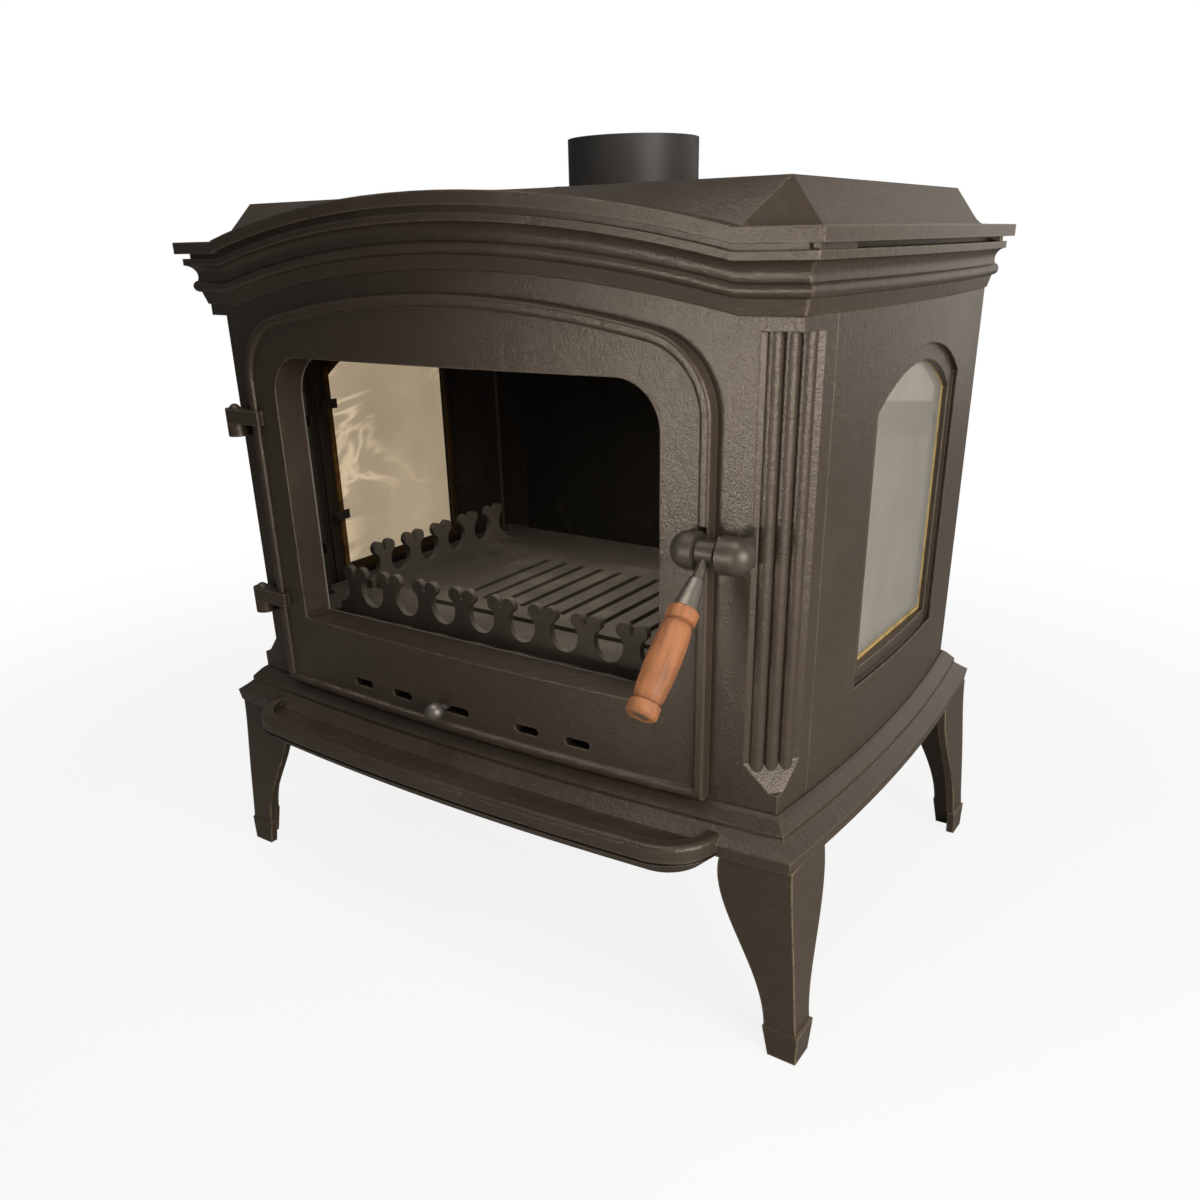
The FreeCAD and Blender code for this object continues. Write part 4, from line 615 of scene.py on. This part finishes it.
def loop_in(node, centre, count):
    """Points along the middle of a ring that stands round `centre`, measured on the node's faces."""
    ring = surface(node)
    low, high = (Vector(corner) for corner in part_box(node))
    tries, beyond = 9, 2
    path = []
    for k in range(count):
        angle = math.tau * k / count
        way = Vector((math.cos(angle), 0, math.sin(angle)))
        for step in range(tries):
            level = Vector((centre.x, low.y + (high.y - low.y) * (step + 0.5) / tries, centre.z))
            inner = ring.ray_cast(level, way)[0]
            if inner is not None:
                break
        outer = ring.ray_cast(level + way * beyond, -way)[0]
        middle = (inner + outer) / 2
        front = ring.ray_cast(Vector((middle.x, low.y - 1, middle.z)), Vector((0, 1, 0)))[0]
        rear = ring.ray_cast(Vector((middle.x, high.y + 1, middle.z)), Vector((0, -1, 0)))[0]
        path.append((middle.x, (front.y + rear.y) / 2, middle.z))
    return path


def bedding(name, wall, along, outward, start, end, reach):
    """The bed of cement between a wall's cornice and the lid, found by measuring both along the wall."""
    body, lid = surface(wall), surface("top_plate")
    up, inset = Vector((0, 0, 1)), shapes().bedding_inset
    thick, bite, below, clear = 0.01, 0.001, 0.002, 0.0002
    steps, tries = 72, 24
    ribs = []
    for k in range(steps + 1):
        foot = along * (start + (end - start) * k / steps)
        tops = []
        for step in range(tries):
            out = outward * (reach[0] + (reach[1] - reach[0]) * step / (tries - 1))
            found = body.ray_cast(foot + out + up, -up)[0]
            if found is not None:
                tops.append(found.z)
        if not tops:
            continue
        level = max(tops)
        face = body.ray_cast(foot + outward + up * (level - below), -outward)[0]
        if face is None:
            continue
        spot = face - outward * inset
        under = lid.ray_cast(Vector((spot.x, spot.y, level + clear)), up)[0]
        if under is None:
            continue
        back = spot - outward * thick
        foot_z, head_z = level - bite, under.z + bite
        ribs.append([(spot.x, spot.y, foot_z), (spot.x, spot.y, head_z),
                     (back.x, back.y, head_z), (back.x, back.y, foot_z)])
    spots = [point for rib in ribs for point in rib]
    faces = [(0, 1, 2, 3), tuple(range(len(spots) - 4, len(spots)))]
    for k in range(len(ribs) - 1):
        for side in range(4):
            a, b = 4 * k + side, 4 * k + (side + 1) % 4
            faces.append((a, b, b + 4, a + 4))
    return solid(name, spots, faces)


# Finishes

def stove_paint(name, worn_and_highlit_edge, rubbed):
    """High-heat satin paint on sand-cast iron: mottled, dusty, edges worn pale with a painted highlight,
    grooves in painted shade.
    """
    look = finishes()
    paint = Finish(name)
    spot = paint.place()
    cloud = paint.noise(spot, scale=7.0, detail=5.0, rough=0.6)
    fine = paint.noise(spot, scale=look.grain, detail=2.0)
    speck = paint.noise(spot, scale=95.0, detail=4.0, rough=0.65)
    dusty = paint.ramp(cloud, 0.5, 0.78) * 0.32 + paint.ramp(speck, 0.56, 0.75) * 0.2
    # Edge mask: paint rubbed thin at the edges, and also a painted highlight along them.
    wear = paint.ramp(paint.edges(look.edge_wear), 0.02, 0.3) * paint.ramp(speck + cloud * 0.6, 0.5, 0.9)
    colour = paint.mix(tuple(look.paint), tuple(look.dust), dusty)
    colour = paint.mix(colour, tuple(worn_and_highlit_edge), wear * rubbed)
    # Painted shade: darkens the moulding grooves by ambient occlusion.
    colour = paint.mix(colour, tuple(look.groove_shade), paint.ramp(paint.groove(look.groove_shade_reach), 0.12, 0.6) * 0.9)
    rough = 0.26 + cloud * 0.13 + fine * 0.12 - wear * 0.05
    height = fine * 0.6 + speck * 1.3 + cloud * 1.5
    normal = paint.bump(height, strength=0.5, distance=0.0012, normal=paint.rounded(look.edge_wear * 0.5))
    paint.set(Base_Color=colour, Roughness=rough, Normal=normal, Metallic=0.0, Specular_IOR_Level=0.65,
              Specular_Tint=(1.0, 0.93, 0.85))
    return paint.material


def collar_iron():
    """Dark satin iron of the flue collar, with faint marks of turning."""
    look = finishes()
    iron = Finish("collar_iron")
    cloud = iron.noise(iron.place(), scale=14.0, detail=4.0)
    fine = iron.noise(iron.place(), scale=look.grain * 1.4, detail=2.0)
    turned = iron.noise(iron.place(stretch=(60, 60, 1)), scale=540.0, detail=2.0)
    colour = iron.mix(tuple(look.collar), tuple(look.dust), iron.ramp(cloud, 0.5, 0.85) * 0.3)
    normal = iron.bump(fine * 0.6 + turned * 0.4, strength=0.2, distance=0.0005, normal=iron.rounded(0.0012))
    iron.set(Base_Color=colour, Roughness=0.42 + cloud * 0.14 + turned * 0.06, Specular_IOR_Level=0.5,
             Normal=normal)
    return iron.material


def fire_iron(name, bare, ash):
    """Bare iron inside the firebox, brown with heat and grey with ash in the hollows."""
    look = finishes()
    iron = Finish(name)
    cloud = iron.noise(iron.place(), scale=9.0, detail=5.0, rough=0.62)
    fine = iron.noise(iron.place(), scale=look.grain, detail=3.0)
    colour = iron.mix(tuple(bare), tuple(ash), iron.ramp(cloud, 0.42, 0.72) * 0.6)
    normal = iron.bump(fine + cloud * 0.4, strength=0.35, distance=0.0009, normal=iron.rounded(0.0012))
    iron.set(Base_Color=colour, Roughness=0.58 + cloud * 0.2, Specular_IOR_Level=0.4, Normal=normal)
    return iron.material


def sooted_iron():
    """Matt black iron where the smoke passes."""
    look = finishes()
    iron = Finish("sooted_iron")
    cloud = iron.noise(iron.place(), scale=12.0, detail=5.0, rough=0.62)
    fine = iron.noise(iron.place(), scale=look.grain, detail=3.0)
    colour = iron.mix(tuple(look.soot), tuple(look.fire_iron), iron.ramp(cloud, 0.55, 0.8) * 0.4)
    iron.set(Base_Color=colour, Roughness=0.7 + cloud * 0.2, Specular_IOR_Level=0.25,
             Normal=iron.bump(fine, strength=0.3, distance=0.0009))
    return iron.material


def dark_steel():
    """Blackened metal of the latch, bolts and clips, burnished along its edges."""
    look = finishes()
    steel = Finish("dark_steel")
    cloud = steel.noise(steel.place(), scale=45.0, detail=4.0)
    fine = steel.noise(steel.place(), scale=900.0, detail=2.0)
    wear = steel.ramp(steel.edges(0.0014), 0.06, 0.4)
    colour = steel.mix(tuple(look.dark_steel), (0.16, 0.145, 0.125), wear * 0.5 + cloud * 0.25)
    steel.set(Base_Color=colour, Roughness=0.36 + cloud * 0.2, Metallic=0.55 + wear * 0.3,
              Normal=steel.bump(fine, strength=0.15, distance=0.0003, normal=steel.rounded(0.0007)))
    return steel.material


def bright_steel():
    """Turned and tumbled steel of the ferrule, knob and pins, with fine rings and darker handling marks."""
    look = finishes()
    steel = Finish("bright_steel")
    rings = steel.noise(steel.place(LEVER_TURN, (40, 40, 1)), scale=1600.0, detail=2.0)
    cloud = steel.noise(steel.place(), scale=60.0, detail=4.0, rough=0.6)
    colour = steel.mix(tuple(look.bright_steel), (0.09, 0.08, 0.07), steel.ramp(cloud, 0.4, 0.75) * 0.75)
    steel.set(Base_Color=colour, Roughness=0.34 + rings * 0.14 + cloud * 0.12, Metallic=0.85,
              Normal=steel.bump(rings, strength=0.12, distance=0.0003, normal=steel.rounded(0.0008)))
    return steel.material


def grip_wood():
    """Oiled hardwood with its grain along the lever and painted shade in its grooves."""
    look = finishes()
    wood = Finish("grip_wood")
    along = wood.place(LEVER_TURN, (1, 1, 14))
    broad = wood.noise(along, scale=170.0, detail=4.0, rough=0.6, warp=0.5)
    fibre = wood.noise(along, scale=900.0, detail=3.0, rough=0.7)
    pores = wood.ramp(fibre, 0.56, 0.7)
    age = wood.noise(wood.place(), scale=30.0, detail=3.0)
    streak = wood.ramp(broad, 0.42, 0.72) * 0.7 + pores * 0.2
    colour = wood.mix(tuple(look.wood), tuple(look.wood_dark), streak)
    colour = wood.mix(colour, (0.2, 0.085, 0.04), wood.ramp(age, 0.42, 0.7) * 0.55)
    # Painted shade: darkens the grip's grooves by ambient occlusion.
    colour = wood.mix(colour, (0.07, 0.025, 0.01), wood.ramp(wood.groove(0.008), 0.08, 0.45) * 0.85)
    wood.set(Base_Color=colour, Roughness=0.4 + broad * 0.16 + pores * 0.15, Specular_IOR_Level=0.45,
             Normal=wood.bump(fibre + broad * 0.5, strength=0.25, distance=0.0004))
    return wood.material


def pane_glass(name, tint, film, burnt, streaks=0.0):
    """Ceramic pane: tinted clear glass under a film with fine clear streaks of painted light, glossier at a
    low angle.
    """
    glass = Finish(name)
    cloud = glass.noise(glass.place(), scale=7.0, detail=5.0, rough=0.6, warp=0.2)
    wavy = glass.noise(glass.place(stretch=(1, 1.8, 0.7)), scale=8.0, detail=3.0, rough=0.5, warp=0.9)
    # Painted light: thin clear lines in the film that stand in for bright streaks of light in the glass.
    line = glass.ramp(wavy, 0.455, 0.5) * (1 - glass.ramp(wavy, 0.5, 0.545))
    light_streaks = line * glass.ramp(glass.noise(glass.place(), scale=5.0, detail=1.0), 0.42, 0.58) * streaks
    graze = glass.node("ShaderNodeLayerWeight", {}, {"Blend": 0.16}, out="Fresnel")
    # Base colour of the film; on the right pane it is partly ash and partly a painted reflection.
    smoke = Vector((0.01, 0.01, 0.01)).lerp(Vector(burnt), film / (film + 0.04))
    glass.set(Base_Color=tuple(smoke), Roughness=0.03 + cloud * 0.02, Specular_IOR_Level=0.6, IOR=1.5)
    clear = glass.node("ShaderNodeBsdfTransparent", {}, {"Color": tuple(tint)})
    glass.blend(clear, ((film * 0.5 + cloud * film) * (1 - light_streaks) + graze * 0.8).at_most(0.95))
    return glass.material


def seal_rope(name, yarns, pale):
    """Woven glass fibre, paler on the crowns of its yarns and sooted in patches."""
    rope = Finish(name)
    spot = rope.place()
    yarn = rope.noise(spot, scale=900.0, detail=3.0, rough=0.7)
    cloud = rope.noise(spot, scale=30.0, detail=3.0)
    colour = rope.mix(tuple(yarns), pale, rope.ramp(yarn, 0.45, 0.7) * 0.5)
    colour = rope.mix(colour, (0.05, 0.045, 0.04), rope.ramp(cloud, 0.5, 0.75) * 0.5)
    rope.set(Base_Color=colour, Roughness=0.9, Normal=rope.bump(yarn, strength=0.6, distance=0.0006))
    return rope.material


# Operators

class STOVE_OT_castings(bpy.types.Operator):
    """Paint the outer castings"""

    bl_idname = "stove.castings"
    bl_label = "Castings"

    def execute(self, context):
        look = finishes()
        # The pale edges on castings and legs are worn paint and also a painted highlight.
        dress(stove_paint("stove_paint", look.worn_and_highlit_paint, rubbed=0.65), "base_plate", "front_panel",
              "right_side_panel", "left_side_panel", "back_panel", "top_plate", "door_frame")
        dress(stove_paint("leg_paint", look.worn_and_highlit_legs, rubbed=1.0), "front_right_leg", "rear_right_leg",
              "front_left_leg", "rear_left_leg")
        dress(collar_iron(), "flue_collar")
        return {"FINISHED"}


class STOVE_OT_bedding(bpy.types.Operator):
    """Lay the cement bed that the lid sits in"""

    bl_idname = "stove.bedding"
    bl_label = "Lid bedding"

    def execute(self, context):
        ahead, right = Vector((0, -1, 0)), Vector((1, 0, 0))
        runs = (("front_bedding", "front_panel", right, ahead, *FRONT_BED),
                ("right_bedding", "right_side_panel", -ahead, right, *SIDE_BED),
                ("left_bedding", "left_side_panel", -ahead, -right, *SIDE_BED))
        for run in runs:
            mesh = bedding(*run)
            mesh.materials.append(bpy.data.materials["stove_paint"])
            piece(run[0], mesh, "carcass")
        return {"FINISHED"}


class STOVE_OT_reeds(bpy.types.Operator):
    """Set the reeds on the two front corners"""

    bl_idname = "stove.reeds"
    bl_label = "Corner reeds"

    def execute(self, context):
        size = shapes()
        paint = bpy.data.materials["stove_paint"]
        for name, side in (("right_reeds", 1), ("left_reeds", -1)):
            strip = row(name, reed(name + "_cell", REED_FOOT, REED_TOP), size.reeds, size.reed * 2, paint)
            spot = Vector((side * (HALF_WIDTH - CORNER_INSET), FRONT_LINE + CORNER_INSET, 0))
            strip.transform(Matrix.Translation(spot) @ Matrix.Rotation(math.radians(45 * side), 4, "Z"))
            piece(name, strip, "carcass")
        return {"FINISHED"}


class STOVE_OT_firebox(bpy.types.Operator):
    """Finish the iron round the fire"""

    bl_idname = "stove.firebox"
    bl_label = "Firebox"

    def execute(self, context):
        look = finishes()
        dress(fire_iron("hearth_iron", look.fire_iron, look.ash), "hearth_plate", "grate")
        dress(sooted_iron(), "back_liner", "baffle_plate")
        return {"FINISHED"}


class STOVE_OT_retainers(bpy.types.Operator):
    """Model the three log retainers with their open eyes and curled posts"""

    bl_idname = "stove.retainers"
    bl_label = "Log retainers"

    def execute(self, context):
        size, look = shapes(), finishes()
        # Painted light: the retainers get a lighter copy of the fire iron.
        iron = fire_iron("fence_iron", look.fence, look.ash)
        runs = (("front_log_retainer", size.front_posts, 0), ("right_log_retainer", size.side_posts, 90),
                ("left_log_retainer", size.side_posts, -90))
        for node, posts, turn in runs:
            name = node.replace("log_retainer", "log_fence")
            plate = retainer(name, posts, iron)
            low, high = (Vector(corner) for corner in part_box(node))
            middle = (low + high) / 2
            outer = {0: (middle.x, low.y, low.z), 90: (high.x, middle.y, low.z),
                     -90: (low.x, middle.y, low.z)}
            plate.transform(Matrix.Translation(outer[turn]) @ Matrix.Rotation(math.radians(turn), 4, "Z"))
            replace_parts(piece(name, plate, "carcass"), node)
        return {"FINISHED"}


class STOVE_OT_fittings(bpy.types.Operator):
    """Finish the clips, pins, register and ash pan and model the bolts"""

    bl_idname = "stove.fittings"
    bl_label = "Fittings"

    def execute(self, context):
        steel = dark_steel()
        dress(steel, "tie_rods", "slide_screws", "door_glass_clips", "door_clip_screws", "side_glass_clips",
              "side_clip_screws", "air_slide", "ash_pan", "upper_hinge_pin", "lower_hinge_pin")
        runs = (("collar_hex_bolts", "flue_collar_bolts", True), ("leg_hex_bolts", "leg_bolts", False))
        for name, node, above in runs:
            low, high = (Vector(corner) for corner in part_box(node))
            if above:
                cell = hex_bolt(name + "_cell", high.z, high.z - BOLT_HEAD_THICK, low.z)
            else:
                cell = hex_bolt(name + "_cell", low.z, low.z + BOLT_HEAD_THICK, high.z)
            span = high - low - Vector((2 * BOLT_HEAD, 2 * BOLT_HEAD, 0))
            bolts = four(name, cell, span.x, span.y, steel)
            bolts.transform(Matrix.Translation(((low.x + high.x) / 2, (low.y + high.y) / 2, 0)))
            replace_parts(piece(name, bolts, "carcass"), node)
        return {"FINISHED"}


class STOVE_OT_handle(bpy.types.Operator):
    """Finish the latch, the wooden grip and the air knob"""

    bl_idname = "stove.handle"
    bl_label = "Handle"

    def execute(self, context):
        dress(bpy.data.materials["dark_steel"], "latch_boss", "keeper_boss", "handle_lever")
        dress(bright_steel(), "air_knob", "keeper_rod", "lever_pivot_pin", "handle_ferrule", "grip_screw")
        dress(grip_wood(), "wooden_grip")
        return {"FINISHED"}


class STOVE_OT_glazing(bpy.types.Operator):
    """Finish the panes and gaskets, lay the door's rope and the tape along the sills"""

    bl_idname = "stove.glazing"
    bl_label = "Glazing"

    def execute(self, context):
        look = finishes()
        dress(pane_glass("door_pane", look.door_tint, film=0.006, burnt=look.film), "door_glass")
        # The right pane's thick pale film is partly ash and partly a painted reflection.
        dress(pane_glass("ashy_pane", look.side_tint, film=0.46, burnt=look.film), "right_side_glass")
        # The left pane's film carries the painted light streaks.
        smoked = pane_glass("smoked_pane", look.side_tint, film=0.26, burnt=look.smoke, streaks=0.9)
        dress(smoked, "left_side_glass")
        rope = seal_rope("seal_rope", look.rope, (0.3, 0.29, 0.27))
        dress(rope, "door_glass_gasket")
        path = loop_in("door_rope_seal", DOOR_MIDDLE, ROPE_POINTS)
        seal = twisted("door_rope", path, ROPE_RADIUS, ROPE_LAY, rope)
        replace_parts(piece("door_rope", seal, "door"), "door_rope_seal")
        tape = seal_rope("gasket_tape", look.tape, (0.75, 0.6, 0.3))
        dress(tape, "right_side_glass_gasket", "left_side_glass_gasket")
        self.sill_tape("right_sill_tape", "right_side_glass_gasket", tape)
        self.sill_tape("left_sill_tape", "left_side_glass_gasket", tape)
        return {"FINISHED"}

    def sill_tape(self, name, gasket, material):
        """The edge of the gasket tape that shows above the window's sill."""
        low, high = (Vector(corner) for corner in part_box(gasket))
        wide = (high.y - low.y) * 0.5 - TAPE_END
        outline = [(-wide, 0), (wide, 0), (wide, TAPE_HEIGHT), (-wide, TAPE_HEIGHT)]
        strip = prism(name, outline, high.x - low.x)
        spot = Vector((high.x, (low.y + high.y) / 2, low.z + TAPE_RISE))
        strip.transform(Matrix.Translation(spot) @ Matrix.Rotation(math.radians(90), 4, "Z"))
        strip.materials.append(material)
        piece(name, strip, "carcass")


class STOVE_OT_studio(bpy.types.Operator):
    """Build the floor, the lamps and the camera"""

    bl_idname = "stove.studio"
    bl_label = "Studio"

    def execute(self, context):
        scene = context.scene
        scene.view_settings.view_transform = "Standard"
        self.surroundings(scene)
        self.ground()
        light = studio()
        corner = (0.32, -0.2, 0.6)
        self.lamp("Key", (1.15, -1.3, 1.45), corner, (0.7, 0.7), light.key)
        self.lamp("Window", (2.25, -0.9, 0.95), (0.3, 0.0, 0.5), (1.2, 1.2), light.window)
        self.lamp("Ceiling", (0.1, -0.5, 2.5), (0.1, -0.3, 0.5), (1.6, 1.0), light.ceiling)
        self.lamp("Hearth", (0.0, 0.02, 0.69), (0.0, 0.0, 0.35), (0.4, 0.2), light.hearth,
                  spread=math.radians(130))
        self.lamp("Glow", (1.7, 2.9, 1.3), (0.3, 0.1, 0.5), (3.0, 2.4), light.glow)
        self.lamp("Glint", (-0.1, -1.85, 0.52), (0.36, -0.2, 0.64), (0.5, 0.5), light.glint,
                  spread=math.radians(24))
        self.eye(scene)
        return {"FINISHED"}

    def surroundings(self, scene):
        """Soft grey light all round, white where the camera sees it directly or through glass."""
        world = bpy.data.worlds.new("Studio")
        scene.world = world
        sky = Nodes(world, "ShaderNodeOutputWorld")
        direct = sky.node("ShaderNodeLightPath", out="Is Camera Ray")
        through = sky.node("ShaderNodeLightPath", out="Is Transmission Ray")
        ambient = studio().ambient
        level = direct.at_least(through) * (1 - ambient) + ambient
        sky.show(sky.node("ShaderNodeBackground", {}, {"Color": (1, 1, 1), "Strength": level}))

    def ground(self):
        """A wide floor, nearly white to the camera with a faint shadow, and duller to the stove."""
        mesh = bpy.data.meshes.new("studio_floor")
        wide = 12.0
        corners = [(-wide, -wide, 0), (wide, -wide, 0), (wide, wide, 0), (-wide, wide, 0)]
        mesh.from_pydata(corners, [], [(0, 1, 2, 3)])
        floor = bpy.data.objects.new("studio_floor", mesh)
        bpy.context.scene.collection.objects.link(floor)
        matt = Finish("studio_floor")
        grain = matt.noise(matt.place(), scale=40.0, detail=3.0)
        shade = matt.mix(tuple(studio().floor), (0.86, 0.86, 0.86), grain * 0.2)
        seen = matt.node("ShaderNodeLightPath", out="Is Camera Ray")
        colour = matt.mix(tuple(studio().bounce), shade, seen)
        matt.set(Base_Color=colour, Roughness=0.9, Specular_IOR_Level=0.1)
        far = matt.node("ShaderNodeVectorMath", {"operation": "LENGTH"}, {0: matt.place()}, out="Value")
        white = matt.node("ShaderNodeEmission", {}, {"Color": (1, 1, 1), "Strength": 1.0})
        matt.blend(white, 1 - seen * (0.86 + matt.ramp(far, 0.8, 1.9) * 0.14))
        mesh.materials.append(matt.material)

    def lamp(self, name, spot, aim, size, power, spread=math.pi):
        data = bpy.data.lights.new(name, "AREA")
        data.shape = "RECTANGLE"
        data.size, data.size_y = size
        data.spread = spread
        data.energy = power
        data.color = studio().warmth
        lamp = bpy.data.objects.new(name, data)
        lamp.location = spot
        lamp.rotation_euler = (Vector(aim) - Vector(spot)).to_track_quat("-Z", "Y").to_euler()
        bpy.context.scene.collection.objects.link(lamp)

    def eye(self, scene):
        """The camera at the photograph's place, from its heading, pitch and roll."""
        view = studio()
        ahead = Vector((-math.sin(view.heading) * math.cos(view.pitch),
                        math.cos(view.heading) * math.cos(view.pitch), -math.sin(view.pitch)))
        level = Vector((math.cos(view.heading), math.sin(view.heading), 0))
        up = level.cross(ahead)
        across = math.cos(view.roll) * level + math.sin(view.roll) * up
        upright = math.cos(view.roll) * up - math.sin(view.roll) * level
        data = bpy.data.cameras.new("Camera")
        data.sensor_width = 36.0
        data.lens = view.focal_share * data.sensor_width
        data.shift_x, data.shift_y = view.shift
        data.clip_start = 0.02
        camera = bpy.data.objects.new("Camera", data)
        camera.matrix_world = Matrix((across, upright, -ahead)).transposed().to_4x4()
        camera.location = view.camera_spot
        scene.collection.objects.link(camera)
        scene.camera = camera


class STOVE_PT_panel(bpy.types.Panel):
    """The stove's finishes, studio and building steps"""

    bl_idname = "STOVE_PT_panel"
    bl_label = "Wood stove"
    bl_space_type = "VIEW_3D"
    bl_region_type = "UI"
    bl_category = "Stove"

    def draw(self, context):
        layout = self.layout
        for settings in (finishes(), shapes(), studio()):
            column = layout.column(align=True)
            for name in settings.__annotations__:
                column.prop(settings, name)
        for operator in STEPS:
            layout.operator(operator.bl_idname)


STEPS = (STOVE_OT_castings, STOVE_OT_bedding, STOVE_OT_reeds, STOVE_OT_firebox, STOVE_OT_retainers,
         STOVE_OT_fittings, STOVE_OT_handle, STOVE_OT_glazing, STOVE_OT_studio)
CLASSES = (StoveFinishes, StoveShapes, StoveStudio, *STEPS, STOVE_PT_panel)


def register():
    for cls in CLASSES:
        bpy.utils.register_class(cls)
    bpy.types.Scene.stove_finishes = PointerProperty(type=StoveFinishes)
    bpy.types.Scene.stove_shapes = PointerProperty(type=StoveShapes)
    bpy.types.Scene.stove_studio = PointerProperty(type=StoveStudio)


def unregister():
    del bpy.types.Scene.stove_studio
    del bpy.types.Scene.stove_shapes
    del bpy.types.Scene.stove_finishes
    for cls in reversed(CLASSES):
        bpy.utils.unregister_class(cls)


def main():
    register()
    bpy.ops.stove.castings()
    bpy.ops.stove.bedding()
    bpy.ops.stove.reeds()
    bpy.ops.stove.firebox()
    bpy.ops.stove.retainers()
    bpy.ops.stove.fittings()
    bpy.ops.stove.handle()
    bpy.ops.stove.glazing()
    bpy.ops.stove.studio()


if __name__ == "__main__":
    main()
